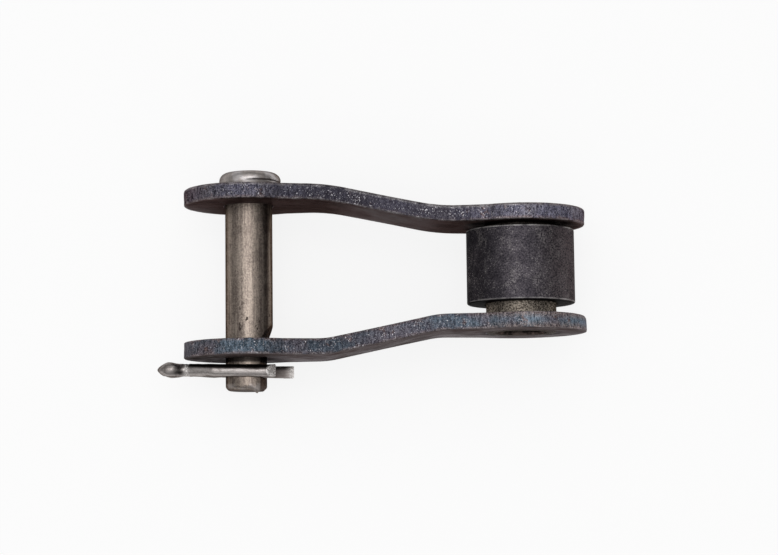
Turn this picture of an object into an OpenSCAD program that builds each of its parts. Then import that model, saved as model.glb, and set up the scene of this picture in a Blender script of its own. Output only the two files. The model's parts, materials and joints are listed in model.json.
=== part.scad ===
// Offset link of a 41.4 mm pitch roller chain: two cranked side plates on a
// pressed bush with a free roller, and a removable headed pin kept by a split cotter.
// Millimetres. The origin is the middle of the bush bore, +X points away from the pin,
// +Y points to the pin head and +Z is up. The link lies on the round ends of its plates.

/* [Link] */
// Distance between the pin axis and the bush axis
pitch = 41.4; // [40:0.1:46]
// Clear width between the plates at the pin end
pin_end_width = 20.9; // [19.5:0.1:23]
// Clear width between the plates at the roller end
roller_end_width = 13.9; // [13:0.1:15.5]

/* [Side plates] */
// Thickness of the plate steel
plate_thickness = 2.4; // [1.8:0.1:2.8]
// Height of a plate across its round ends
plate_height = 19.8; // [18.4:0.1:22]
// Height of a plate across the middle of its waist
waist_height = 13.7; // [12.6:0.1:15]
// Radius of the hollow sides of the waist
waist_radius = 80; // [76:1:120]
// Distance from the pin axis to the first bend
first_bend = 11.8; // [11.2:0.1:13]
// Distance from the bush axis to the second bend
second_bend = 12.7; // [11.6:0.1:13.5]
// Radius of both bends at the middle of the plate thickness
bend_radius = 14; // [8:0.5:18]

/* [Bush and roller] */
// Outside diameter of the bush, pressed into both plates
bush_diameter = 10.7; // [10:0.1:12]
// Bore of the bush, in which the pin of the next link turns
bush_bore = 7.3; // [6.5:0.05:8]
// Chamfer at both mouths of the bush bore
bore_chamfer = 0.3; // [0.1:0.05:0.5]
// Outside diameter of the roller
roller_diameter = 16.45; // [15:0.05:18]
// Length of the roller
roller_length = 11.3; // [9:0.1:11.8]
// Gap all round between the roller and the bush
roller_gap = 0.1; // [0.05:0.01:0.2]
// Distance the roller lies from the middle towards the pin head
roller_shift = 0.7; // [-0.8:0.02:0.8]
// Rounding of the outer roller rims
roller_rim = 0.25; // [0.2:0.05:0.8]

/* [Connecting pin] */
// Diameter of the pin
pin_diameter = 7.19; // [6.6:0.01:7.6]
// Gap all round between the pin and its plate holes
pin_gap = 0.1; // [0.05:0.01:0.2]
// Diameter of the pin head
head_diameter = 9.4; // [8.6:0.1:11]
// Height of the pin head
head_height = 2.75; // [2.6:0.05:3.4]
// Radius of the slightly domed top of the head
head_dome = 60; // [30:5:80]
// Rounding between the dome and the side of the head
head_round = 1.2; // [0.8:0.1:1.3]
// Height of the forging crease round the head
crease_height = 0.95; // [0.7:0.05:1]
// Depth of the forging crease
crease_depth = 0.12; // [0.05:0.01:0.2]
// Length of the pin beyond the outside of the cotter-side plate
pin_tail = 4.9; // [4.7:0.1:6.5]
// Rounding of the pin end
tail_round = 0.8; // [0.3:0.1:1]
// Depth of the locking flat milled on the pin
flat_depth = 1.4; // [1.2:0.05:1.6]
// Full length of the locking flat, from the pin end
flat_length = 7.4; // [7.3:0.1:8.5]
// Length of the ramp on which the flat runs out
flat_ramp = 2.6; // [1.5:0.1:4]
// Bevel at the tail end of the flat
flat_bevel = 0.6; // [0.3:0.1:0.8]
// Gap between the locking flat and the flat of its plate hole
flat_gap = 0.45; // [0.4:0.01:0.6]
// Angle the pin has turned inside that gap
pin_turn = 8; // [0:0.5:8]

/* [Split cotter] */
// Diameter of the two half-round legs laid together
cotter_diameter = 1.9; // [1.6:0.05:2]
// Diameter of the cross hole through the pin
cotter_hole = 2.4; // [2.35:0.05:2.6]
// Distance from the pin end to the cross hole
hole_setback = 2.9; // [2.8:0.05:3.25]
// Height of the flat of the long leg above the middle of the cross hole
long_leg_level = 0.3; // [0.2:0.05:0.35]
// Gap between the flat of the short leg and the pin
short_leg_gap = 0.08; // [0.05:0.01:0.3]
// Length of the long leg beyond the pin axis
long_leg_end = 6.95; // [5.5:0.05:9]
// Length of the short leg beyond the pin axis
short_leg_end = 4.75; // [3.6:0.05:5]
// Length of the slanting cut at each leg end
leg_bevel = 1.2; // [0.6:0.1:1.5]
// Distance from the pin axis to the middle of the eye
eye_reach = 11.7; // [11.6:0.1:14]
// Radius of the opening of the eye
eye_radius = 1.1; // [0.8:0.05:1.4]
// Radius of the neck where both legs meet under the eye
neck_radius = 2; // [1.6:0.1:2.4]
// Half gap between the legs at the neck
neck_gap = 0.03; // [0.01:0.01:0.1]
// Slope of the legs where they open behind the neck
leg_slope = 22; // [20:1:30]
// Angle the cotter leans in its hole, its eye towards the plate
cotter_lean = 1.7; // [0:0.1:2]
// Growth of the wire section in its bends
bend_swell = 0.01; // [0.01:0.005:0.02]

/* [Hidden] */
$fn = 96;
pin_radius = pin_diameter / 2;
bush_radius = bush_diameter / 2;
end_radius = plate_height / 2;
bush_length = roller_end_width + 2 * plate_thickness;
roller_bore = bush_diameter + 2 * roller_gap;
over_cut = 1;
wire_lap = 0.1;
bend_steps = 8;

// Middle of the plate thickness at both ends, and the crank between them
pin_end_level = (pin_end_width + plate_thickness) / 2;
roller_end_level = (roller_end_width + plate_thickness) / 2;
crank_run = pitch - first_bend - second_bend;
crank_drop = pin_end_level - roller_end_level;
crank_angle = atan2(crank_drop, crank_run);
bend_tangent = bend_radius * tan(crank_angle / 2);

// Height at which the waist arcs are already inside the round ends
waist_limit = 0.98 * end_radius;

// Places along the pin
outer_face = pin_end_width / 2 + plate_thickness;
pin_end = -outer_face - pin_tail;
hole_level = pin_end + hole_setback;
flat_level = pin_radius - flat_depth;
flat_top = pin_end + flat_length;
head_radius = head_diameter / 2;
head_top = outer_face + head_height;
shoulder_reach = head_radius - head_round;
shoulder_drop = head_dome - sqrt(pow(head_dome - head_round, 2) - pow(shoulder_reach, 2));

// Cotter legs, measured from the line midway between their flats
leg_radius = cotter_diameter / 2;
short_leg_level = pin_radius + short_leg_gap;
leg_spread = (short_leg_level - long_leg_level) / 2;
cotter_level = (short_leg_level + long_leg_level) / 2;
neck_level = neck_gap + neck_radius;
neck_reach = sqrt(pow(eye_radius + neck_radius, 2) - pow(neck_level, 2));
neck_angle = atan2(neck_level, neck_reach);
neck_place = neck_reach - eye_reach;
bend_rise = 2 * neck_radius * (1 - cos(leg_slope));
slope_length = (leg_spread - neck_gap - bend_rise) / sin(leg_slope);
slope_start = [neck_place + neck_radius * sin(leg_slope), neck_level - neck_radius * cos(leg_slope)];
slope_end = slope_start + slope_length * [cos(leg_slope), sin(leg_slope)];
leg_start = slope_end[0] + neck_radius * sin(leg_slope);

// Points of the cranked line that lies a given distance outside the middle of the plate
function crank_line(out) = concat(
    [[-end_radius - over_cut, pin_end_level + out]],
    [
        for (step = [0:bend_steps])
            [first_bend - bend_tangent, pin_end_level - bend_radius]
            + (bend_radius + out) * bend_direction(step)
    ],
    [
        for (step = [bend_steps:-1:0])
            [pitch - second_bend + bend_tangent, roller_end_level + bend_radius]
            - (bend_radius - out) * bend_direction(step)
    ],
    [[pitch + end_radius + over_cut, roller_end_level + out]]
);

// Direction from the centre of a bend to one of the steps along it
function bend_direction(step) = [
    sin(crank_angle * step / bend_steps),
    cos(crank_angle * step / bend_steps)
];

// Cranked strip of the head-side plate seen along Z, with the pin axis at x = 0
module crank_strip() {
    outside = crank_line(plate_thickness / 2);
    inside = crank_line(-plate_thickness / 2);
    last = len(inside) - 1;
    polygon(concat(outside, [for (i = [last:-1:0]) inside[i]]));
}

// Outline of a plate seen along Y, with the pin axis at x = 0
module plate_outline() {
    circle(end_radius);
    translate([pitch, 0])
        circle(end_radius);
    difference() {
        translate([0, -waist_limit])
            square([pitch, 2 * waist_limit]);
        for (side = [-1, 1])
            translate([pitch / 2, side * (waist_height / 2 + waist_radius)])
                circle(waist_radius, $fn = 360);
    }
}

// Cranked plate without its pin hole, on the head side
module plate_blank() {
    difference() {
        intersection() {
            translate([-pitch, 0, -end_radius - over_cut])
                linear_extrude(plate_height + 2 * over_cut)
                    crank_strip();
            translate([-pitch, outer_face + over_cut, 0])
                rotate([90, 0, 0])
                    linear_extrude(outer_face + over_cut)
                        plate_outline();
        }
        rotate([-90, 0, 0])
            cylinder(h = outer_face + over_cut, r = bush_radius);
    }
}

// Tube about Y, centred on the origin, with rounded outer rims
module rimmed_tube(outside, bore, length, rim) {
    rotate([-90, 0, 0])
        rotate_extrude()
            translate([0, -length / 2])
                difference() {
                    union() {
                        square([outside / 2 - rim, length]);
                        translate([0, rim])
                            square([outside / 2, length - 2 * rim]);
                        for (y = [rim, length - rim])
                            translate([outside / 2 - rim, y])
                                circle(rim);
                    }
                    translate([-over_cut, -over_cut])
                        square([bore / 2 + over_cut, length + 2 * over_cut]);
                }
}

// Half-round section of a cotter leg with its flat on x = 0, grown all round by a swell
module leg_section(swell) {
    intersection() {
        circle(leg_radius + swell);
        translate([-swell, -leg_radius - over_cut])
            square([leg_radius + over_cut, cotter_diameter + 2 * over_cut]);
    }
}

// Bent length of cotter wire about z, its flat at the given radius
module wire_bend(radius, start, sweep, flat_inside, swell) {
    rotate(start)
        rotate_extrude(angle = sweep)
            translate([radius, 0])
                mirror([flat_inside ? 0 : 1, 0])
                    leg_section(swell);
}

// Straight length of cotter wire along x, its flat towards -y
module wire_straight(length) {
    rotate([90, 0, 90])
        linear_extrude(length)
            leg_section(0);
}

// One leg from the neck to its bevelled end, above the middle line
module cotter_leg(leg_end) {
    neck_lap = wire_lap / neck_radius * 180 / PI;
    translate([neck_place, neck_level])
        wire_bend(
            neck_radius,
            180 + neck_angle - neck_lap,
            90 - neck_angle + leg_slope + neck_lap,
            false,
            bend_swell
        );
    translate(slope_start)
        rotate(leg_slope)
            translate([-wire_lap, 0])
                wire_straight(slope_length + 2 * wire_lap);
    translate([leg_start, leg_spread - neck_radius])
        wire_bend(neck_radius, 90, leg_slope, true, bend_swell);
    difference() {
        translate([leg_start - wire_lap, leg_spread])
            wire_straight(leg_end - leg_start + wire_lap);
        translate([leg_end, leg_spread])
            rotate(atan2(leg_bevel, leg_radius))
                translate([0, -pitch, -pitch / 2])
                    cube([pitch, 2 * pitch, pitch]);
    }
}

// Plate under the pin head, with a round pin hole
module head_side_plate() {
    color("dimgray")
        difference() {
            plate_blank();
            translate([-pitch, 0, 0])
                rotate([-90, 0, 0])
                    cylinder(h = outer_face + over_cut, r = pin_radius + pin_gap);
        }
}

// Plate on the cotter side, with a D-shaped pin hole that stops the pin turning
module cotter_side_plate() {
    color("slategray")
        difference() {
            mirror([0, 1, 0])
                plate_blank();
            translate([-pitch, 0, 0])
                difference() {
                    rotate([90, 0, 0])
                        cylinder(h = outer_face + over_cut, r = pin_radius + pin_gap);
                    translate([flat_level + flat_gap, -pitch, -pin_diameter])
                        cube([pin_diameter, 2 * pitch, 2 * pin_diameter]);
                }
        }
}

// Bush flush with the outside of both plates
module bush() {
    color("darkkhaki")
        difference() {
            rotate([90, 0, 0])
                cylinder(h = bush_length, r = bush_radius, center = true);
            rotate([90, 0, 0])
                cylinder(h = bush_length + 2 * over_cut, d = bush_bore, center = true);
            for (turn = [-90, 90])
                rotate([turn, 0, 0])
                    translate([0, 0, bush_length / 2 - bore_chamfer])
                        cylinder(
                            h = 2 * bore_chamfer,
                            r1 = bush_bore / 2,
                            r2 = bush_bore / 2 + 2 * bore_chamfer
                        );
        }
}

// Roller free to turn on the bush
module roller() {
    color("darkslategray")
        translate([0, roller_shift, 0])
            rimmed_tube(roller_diameter, roller_bore, roller_length, roller_rim);
}

// Section of the pin head above the plate, with the pin axis on y
module head_section() {
    shoulder_top = head_top - shoulder_drop;
    dome_centre = head_top - head_dome;
    dome_ratio = head_dome / (head_dome - head_round);
    dome_edge = [shoulder_reach * dome_ratio, dome_centre + (shoulder_top - dome_centre) * dome_ratio];
    difference() {
        intersection() {
            union() {
                translate([0, outer_face])
                    square([head_radius, shoulder_top - outer_face]);
                translate([shoulder_reach, shoulder_top])
                    circle(head_round);
                intersection() {
                    translate([0, dome_centre])
                        circle(head_dome, $fn = 360);
                    polygon([
                        [0, outer_face],
                        [shoulder_reach, outer_face],
                        [shoulder_reach, shoulder_top],
                        dome_edge,
                        [shoulder_reach, head_top + over_cut],
                        [0, head_top + over_cut]
                    ]);
                }
            }
            translate([0, outer_face])
                square([head_radius, head_height + over_cut]);
        }
        translate([head_radius, outer_face + crease_height])
            circle(crease_depth);
    }
}

// Section of the pin shank, with the pin axis on y
module shank_section() {
    translate([0, pin_end + tail_round])
        square([pin_radius, outer_face - pin_end - tail_round + over_cut]);
    intersection() {
        union() {
            translate([0, pin_end])
                square([pin_radius - tail_round, 2 * tail_round]);
            translate([pin_radius - tail_round, pin_end + tail_round])
                circle(tail_round);
        }
        translate([0, pin_end])
            square([pin_radius, 2 * tail_round]);
    }
}

// Metal milled off the pin for the locking flat, with its ramp and its bevelled end
module flat_cut() {
    ramp_top = flat_top + flat_ramp * (pin_diameter - flat_level) / flat_depth;
    polygon([
        [flat_level - flat_bevel - over_cut, pin_end - over_cut],
        [pin_diameter, pin_end - over_cut],
        [pin_diameter, ramp_top],
        [flat_level, flat_top],
        [flat_level, pin_end + flat_bevel]
    ]);
}

// Headed pin with a locking flat and a cross hole for the cotter
module connecting_pin() {
    color("rosybrown")
        translate([-pitch, 0, 0])
            rotate([0, -pin_turn, 0])
                difference() {
                    rotate([-90, 0, 0])
                        rotate_extrude() {
                            shank_section();
                            head_section();
                        }
                    linear_extrude(2 * pin_diameter, center = true)
                        flat_cut();
                    translate([0, hole_level, 0])
                        rotate([0, 90, 0])
                            cylinder(h = 2 * pin_diameter, d = cotter_hole, center = true);
                }
}

// Split cotter: the long leg through the pin, the short leg across its front
module split_cotter() {
    color("silver")
        translate([-pitch, 0, 0])
            rotate([0, -pin_turn, 0])
                translate([0, hole_level, cotter_level])
                    rotate([0, 0, -cotter_lean])
                        rotate([90, 0, 0]) {
                            translate([-eye_reach, 0])
                                wire_bend(
                                    eye_radius,
                                    neck_angle,
                                    360 - 2 * neck_angle,
                                    true,
                                    2 * bend_swell
                                );
                            cotter_leg(short_leg_end);
                            mirror([0, 1, 0])
                                cotter_leg(long_leg_end);
                        }
}

head_side_plate();
cotter_side_plate();
bush();
roller();
connecting_pin();
split_cotter();
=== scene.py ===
import json
import logging
import math
from dataclasses import dataclass
from enum import Enum
from typing import Any, Optional, Sequence, Union

import bmesh
import bpy
import numpy as np
from mathutils import Matrix, Vector, noise
from mathutils.geometry import delaunay_2d_cdt


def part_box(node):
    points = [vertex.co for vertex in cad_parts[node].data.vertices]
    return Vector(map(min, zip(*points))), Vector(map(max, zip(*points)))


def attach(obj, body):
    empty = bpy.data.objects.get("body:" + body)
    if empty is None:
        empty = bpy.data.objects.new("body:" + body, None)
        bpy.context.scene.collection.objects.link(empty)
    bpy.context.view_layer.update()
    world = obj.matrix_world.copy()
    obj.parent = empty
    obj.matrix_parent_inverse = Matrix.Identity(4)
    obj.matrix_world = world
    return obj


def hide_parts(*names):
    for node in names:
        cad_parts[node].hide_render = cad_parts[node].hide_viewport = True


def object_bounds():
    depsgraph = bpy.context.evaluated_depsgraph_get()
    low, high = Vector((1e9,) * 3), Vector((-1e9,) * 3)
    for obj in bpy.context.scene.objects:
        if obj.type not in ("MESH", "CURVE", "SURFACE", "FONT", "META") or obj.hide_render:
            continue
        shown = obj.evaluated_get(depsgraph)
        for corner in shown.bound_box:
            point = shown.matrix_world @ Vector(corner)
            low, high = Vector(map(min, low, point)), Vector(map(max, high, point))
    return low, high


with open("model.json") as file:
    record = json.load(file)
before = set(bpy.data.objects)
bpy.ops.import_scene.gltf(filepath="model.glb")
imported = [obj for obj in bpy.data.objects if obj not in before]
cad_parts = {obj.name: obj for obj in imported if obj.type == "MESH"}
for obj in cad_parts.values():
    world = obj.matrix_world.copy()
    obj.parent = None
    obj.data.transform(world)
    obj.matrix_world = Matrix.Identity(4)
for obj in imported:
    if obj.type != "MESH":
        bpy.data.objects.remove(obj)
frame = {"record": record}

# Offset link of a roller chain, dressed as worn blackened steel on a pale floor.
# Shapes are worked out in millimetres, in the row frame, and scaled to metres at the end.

log = logging.getLogger("offset_link")

MM = 0.001
PER_METRE = 1.0 / MM
FULL_TURN = 2.0 * math.pi
RIM = "rim"
DULL = "dull"
PAINTED_SHADE = "soot"
NOISE_MEAN = 0.5
SEED_WAY = (1.0, 1.7, 2.3)
TINY = 1e-12
CAD_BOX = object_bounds()

Colour = tuple[float, float, float]
Place = tuple[float, float, float]
Span = tuple[float, float]
Face = tuple[int, ...]
Row = tuple[np.ndarray, np.ndarray]
Share = Union[float, np.ndarray]
Station = tuple[float, float, float, float]
Term = Union["Wire", float, tuple]


class Body(Enum):
    """Bodies of the moving link."""

    FRAME = "frame"
    ROLLER = "roller"
    PIN = "pin"
    COTTER = "cotter"


class Slot(Enum):
    """Material slots of the record."""

    PLATE = "plate_steel"
    BUSH = "bush_steel"
    ROLLER = "roller_steel"
    PIN = "pin_steel"
    COTTER = "cotter_steel"


class HoleShape(Enum):
    """Shapes of the pin hole in a side plate."""

    ROUND = "round"
    FLATTED = "flatted"


class Wire:
    """An output socket whose arithmetic adds Math nodes."""

    def __init__(self, board: "Board", socket: bpy.types.NodeSocket) -> None:
        """Keeps the socket and the board that it is on."""
        self.board = board
        self.socket = socket

    def _math(self, operation: str, first: Term, second: Term = 0.0) -> "Wire":
        """Adds one Math node and returns its result."""
        return self.board.node("ShaderNodeMath", {"operation": operation}, {0: first, 1: second})

    def __add__(self, other: Term) -> "Wire":
        """Sum."""
        return self._math("ADD", self, other)

    __radd__ = __add__

    def __sub__(self, other: Term) -> "Wire":
        """Difference."""
        return self._math("SUBTRACT", self, other)

    def __rsub__(self, other: Term) -> "Wire":
        """Reflected difference, as in 1 - mask."""
        return self._math("SUBTRACT", other, self)

    def __mul__(self, other: Term) -> "Wire":
        """Product."""
        return self._math("MULTIPLY", self, other)

    __rmul__ = __mul__

    def __abs__(self) -> "Wire":
        """Size without sign."""
        return self._math("ABSOLUTE", self)

    def larger(self, other: Term) -> "Wire":
        """The larger of two values."""
        return self._math("MAXIMUM", self, other)

    def step(self, span: Span) -> "Wire":
        """Smooth step from 0 to 1 over a span."""
        settings = {"interpolation_type": "SMOOTHSTEP"}
        return self.board.node("ShaderNodeMapRange", settings, {0: self, 1: span[0], 2: span[1]})

    def fall(self, span: Span) -> "Wire":
        """Smooth fall from 1 to 0 over a span."""
        return 1.0 - self.step(span)

    def zone(self, rise: Span, fall: Span) -> "Wire":
        """1 between a rise and a fall, and 0 outside them."""
        return self.step(rise) * self.fall(fall)

    def lift(self, floor: float) -> "Wire":
        """Raised so that 0 becomes the floor and 1 stays 1."""
        return floor + self * (1.0 - floor)


def weighted(wires: Sequence[Wire], weights: Sequence[float]) -> Wire:
    """Sum of wires, each times its weight."""
    parts = [wire * weight for wire, weight in zip(wires, weights)]
    return sum(parts[1:], parts[0])


@dataclass(frozen=True)
class Grain:
    """A noise: swings to the millimetre, octaves, their weight and the stretch of its space."""

    scale: float
    detail: float = 3.0
    rough: float = 0.55
    stretch: Optional[Place] = None


class Board:
    """The node tree of one material or of the world."""

    def __init__(self, tree: bpy.types.NodeTree) -> None:
        """Takes over the tree and clears it."""
        self.tree = tree
        tree.nodes.clear()

    def node(
        self,
        kind: str,
        settings: Optional[dict[str, Any]] = None,
        inputs: Optional[dict[Union[int, str], Any]] = None,
        output: Union[int, str] = 0,
    ) -> Wire:
        """Adds a node.

        Args:
            kind: Blender's name of the node type.
            settings: Properties of the node, set before its sockets.
            inputs: Values or wires for its sockets, by index or name.
            output: Socket to return, by index or name.

        Returns:
            The chosen output, or None where the node has none.
        """
        made = self.tree.nodes.new(kind)
        for name, value in (settings or {}).items():
            setattr(made, name, value)
        for name, value in (inputs or {}).items():
            if isinstance(value, Wire):
                self.tree.links.new(value.socket, made.inputs[name])
            else:
                made.inputs[name].default_value = value
        return Wire(self, made.outputs[output]) if made.outputs else None

    def place(self) -> Wire:
        """Place on the piece in millimetres."""
        metres = self.node("ShaderNodeTexCoord", output="Object")
        return self.stretch(metres, (PER_METRE, PER_METRE, PER_METRE))

    def stretch(self, vector: Wire, factors: Place) -> Wire:
        """Vector with each of its parts multiplied by a factor."""
        inputs = {0: vector, 1: factors}
        return self.node("ShaderNodeVectorMath", {"operation": "MULTIPLY"}, inputs)

    def scale(self, vector: Wire, gain: Term) -> Wire:
        """Vector or colour times one number."""
        inputs = {0: vector, "Scale": gain}
        return self.node("ShaderNodeVectorMath", {"operation": "SCALE"}, inputs)

    def part(self, vector: Wire, axis: str) -> Wire:
        """One part of a vector."""
        return self.node("ShaderNodeSeparateXYZ", {}, {0: vector}, axis)

    def away(self, place: Wire) -> Wire:
        """Distance of a place from the Y axis."""
        flat = self.stretch(place, (1.0, 0.0, 1.0))
        return self.node("ShaderNodeVectorMath", {"operation": "LENGTH"}, {0: flat}, 1)

    def grain(self, place: Wire, kind: Grain) -> Wire:
        """Noise from 0 to 1 at a place."""
        vector = self.stretch(place, kind.stretch) if kind.stretch else place
        inputs = {
            "Vector": vector,
            "Scale": kind.scale,
            "Detail": kind.detail,
            "Roughness": kind.rough,
        }
        return self.node("ShaderNodeTexNoise", {"noise_dimensions": "3D"}, inputs)

    def grains(self, place: Wire, *kinds: Grain) -> list[Wire]:
        """Several noises at one place."""
        return [self.grain(place, kind) for kind in kinds]

    def mix(self, share: Term, first: Term, second: Term) -> Wire:
        """Colour between two colours."""
        settings = {"data_type": "RGBA", "clamp_factor": True}
        colours = {6: first, 7: second}
        for socket, colour in colours.items():
            if not isinstance(colour, Wire):
                colours[socket] = (*colour, 1.0)
        return self.node("ShaderNodeMix", settings, {0: share, **colours}, 2)

    def paint(self, base: Wire, coats: Sequence[tuple[Term, Term]]) -> Wire:
        """Colour after coats are laid over a base, each with its share and its colour."""
        for share, colour in coats:
            base = self.mix(share, base, colour)
        return base

    def carried(self, name: str) -> Wire:
        """Value that the mesh carries under a name."""
        return self.node("ShaderNodeAttribute", {"attribute_name": name}, {}, "Fac")

    def bump(self, height: Wire, depth: float, strength: float) -> Wire:
        """Surface normal roughened by a height.

        Args:
            height: Height from 0 to 1.
            depth: Depth of the relief in millimetres.
            strength: Share of the relief that shows.

        Returns:
            The roughened normal.
        """
        inputs = {"Height": height, "Distance": depth * MM, "Strength": strength}
        return self.node("ShaderNodeBump", {}, inputs)

    def surface(self, sockets: dict[str, Any]) -> None:
        """Ends a material in one Principled shader with these sockets."""
        shader = self.node("ShaderNodeBsdfPrincipled", {}, sockets)
        self.node("ShaderNodeOutputMaterial", {}, {"Surface": shader})


@dataclass(frozen=True)
class Finish:
    """What every finish has: a name and a way to become a material."""

    name: str

    def build(self) -> bpy.types.Material:
        """Makes the material."""
        material = bpy.data.materials.new(self.name)
        material.use_nodes = True
        self.dress(Board(material.node_tree))
        return material

    def dress(self, board: Board) -> None:
        """Adds the nodes of the finish to its board."""
        raise NotImplementedError


@dataclass(frozen=True)
class PlateFinish(Finish):
    """Blackened plate steel: brown oily faces and blue-grey sheared edges, with painted shade, painted
    light and painted glints.
    """

    inner_side: float
    pitch: float
    # Colours
    inner_dark: Colour = (0.034, 0.021, 0.020)
    inner_light: Colour = (0.092, 0.064, 0.059)
    outer_dark: Colour = (0.064, 0.056, 0.057)
    outer_light: Colour = (0.158, 0.144, 0.148)
    scratch: Colour = (0.30, 0.27, 0.265)
    edge_dark: Colour = (0.020, 0.018, 0.024)
    edge_light: Colour = (0.182, 0.172, 0.205)
    tint_dark: Colour = (0.021, 0.021, 0.034)
    tint_light: Colour = (0.135, 0.132, 0.190)
    rust_dark: Colour = (0.028, 0.015, 0.014)
    rust_light: Colour = (0.190, 0.122, 0.108)
    grease_and_shade: Colour = (0.008, 0.006, 0.006)
    dirt_and_shade: Colour = (0.052, 0.034, 0.030)
    painted_light: Colour = (0.205, 0.187, 0.190)
    flake: Colour = (0.235, 0.195, 0.182)
    bare_and_highlight: Colour = (0.50, 0.485, 0.515)
    burr: Colour = (0.340, 0.325, 0.335)
    sheen: Colour = (0.222, 0.146, 0.138)
    # Shares that differ between the two plates
    tint_share: float = 0.6
    waist_dim: float = 0.72
    face_gloss: float = -0.4
    painted_light_share: float = 0.0
    top_painted_shade: float = 0.0
    end_scale: float = 0.0
    pin_oil_and_shade: float = 0.0
    burr_share: float = 0.6
    # Noises
    patch: Grain = Grain(0.16)
    mottle: Grain = Grain(0.8, 5.0, 0.6)
    crumb: Grain = Grain(5.2, 3.0, 0.75)
    rolled: Grain = Grain(1.6, 4.0, 0.6, (0.12, 1.0, 0.8))
    streak: Grain = Grain(3.4, 4.0, 0.7, (1.0, 0.25, 1.0))
    blot: Grain = Grain(0.5, 3.0, 0.6, (0.6, 1.0, 1.0))
    fleck: Grain = Grain(6.6, 2.0, 0.55, (1.0, 0.6, 1.0))
    line: Grain = Grain(3.0, 2.0, 0.55, (0.10, 1.0, 1.9))
    scrape: Grain = Grain(2.6, 2.0, 0.55, (1.6, 1.0, 0.35))
    pit: Grain = Grain(3.1, 3.0, 0.65)
    # Places along X and Z, or distances from an axis, in millimetres
    slope_rise: Span = (-30.0, -22.5)
    slope_fall: Span = (-17.0, -10.0)
    tip_fall: Span = (-49.5, -45.0)
    tip_top: Span = (-6.0, 5.0)
    shade_rise: Span = (-7.0, 6.0)
    oil_and_shade_shift: float = 2.6
    oil_and_shade_fall: Span = (5.0, 10.0)
    oil_and_shade_top: Span = (-3.0, 6.0)
    grease_and_shade_fall: Span = (8.0, 9.2)
    smear_fall: Span = (5.35, 7.05)
    rust_rise: Span = (25.5, 30.0)
    crust_rise: Span = (-10.0, -1.0)
    waist_fall: Span = (9.0, 19.0)
    slope_painted_edge: Span = (-27.0, -20.0)
    bush_painted_edge: Span = (-2.0, 3.5)
    pin_painted_edge: Span = (-46.0, -38.0)
    # Spans of the masks
    wall_turn: Span = (0.55, 0.9)
    inner_turn: Span = (0.0, 0.3)
    fade_span: Span = (0.38, 0.62)
    smear_span: Span = (0.36, 0.56)
    grime_span: Span = (0.43, 0.60)
    line_span: Span = (0.64, 0.72)
    line_patch: Span = (0.45, 0.65)
    scrape_span: Span = (0.63, 0.72)
    pit_span: Span = (0.57, 0.66)
    rim_span: Span = (0.0, 0.8)
    rim_crumb: Span = (0.40, 0.60)
    shade_span: Span = (0.35, 0.65)
    oil_and_shade_span: Span = (0.35, 0.60)
    grit_span: Span = (0.41, 0.62)
    tint_span: Span = (0.38, 0.58)
    lip_span: Span = (0.5, 1.0)
    lip_patch: Span = (0.30, 0.62)
    spot_span: Span = (0.57, 0.68)
    crust_lip: Span = (0.0, 0.7)
    crust_crumb: Span = (0.42, 0.58)
    burr_span: Span = (0.25, 0.8)
    burr_patch: Span = (0.32, 0.58)
    burr_crumb: Span = (0.40, 0.60)
    fleck_span: Span = (0.58, 0.70)
    glint_patch: Span = (0.42, 0.62)
    shine_patch: Span = (0.45, 0.70)
    shine_crumb: Span = (0.42, 0.60)
    # Weights, shares and floors of the coats
    fade_weights: tuple[float, ...] = (0.5, 0.25, 0.25)
    grime_weights: tuple[float, ...] = (0.45, 0.2, 0.15, 0.2)
    grit_weights: tuple[float, ...] = (0.55, 0.45)
    painted_edge_weights: tuple[float, ...] = (0.4, 0.6, 0.17)
    painted_edge_gain: float = 0.85
    line_share: float = 0.5
    scrape_share: float = 0.55
    pit_floor: float = 0.35
    pit_gain: float = 0.4
    rim_share: float = 0.45
    grime_share: float = 0.6
    painted_light_floor: float = 0.45
    shade_floor: float = 0.4
    grease_and_shade_share: float = 0.85
    smear_share: float = 0.8
    oil_and_shade_floor: float = 0.7
    rust_share: float = 0.4
    spot_share: float = 0.75
    crust_floor: float = 0.3
    burr_floor: float = 0.35
    glint_floor: float = 0.28
    shine_share: float = 0.45
    # Metal, gloss and relief
    metal: float = 0.74
    wall_metal: float = 0.12
    film_metal: float = 0.4
    oil_and_shade_metal: float = 0.6
    rough: float = 0.38
    wall_rough: float = 0.16
    crumb_rough: float = 0.3
    film_rough: float = 0.15
    shine_rough: float = 0.15
    streak_relief: float = 0.5
    grain_relief: tuple[float, ...] = (0.6, 0.4)
    face_relief: float = 0.4
    pit_relief: float = 0.5
    relief: Span = (0.06, 0.85)

    def dress(self, board: Board) -> None:
        """Adds the nodes of the finish to its board."""
        place = board.place()
        x, z = board.part(place, "X"), board.part(place, "Z")
        across = board.part(board.node("ShaderNodeTexCoord", output="Normal"), "Y")
        wall = abs(across).fall(self.wall_turn)
        flat = 1.0 - wall
        inner = (across * self.inner_side).step(self.inner_turn)
        outer = 1.0 - inner
        lip, rim = board.carried(DULL), board.carried(RIM)
        patch, mottle, crumb, rolled, streak, blot = board.grains(
            place, self.patch, self.mottle, self.crumb, self.rolled, self.streak, self.blot
        )
        away, from_middle = board.away(place), x + 0.5 * self.pitch
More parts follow.
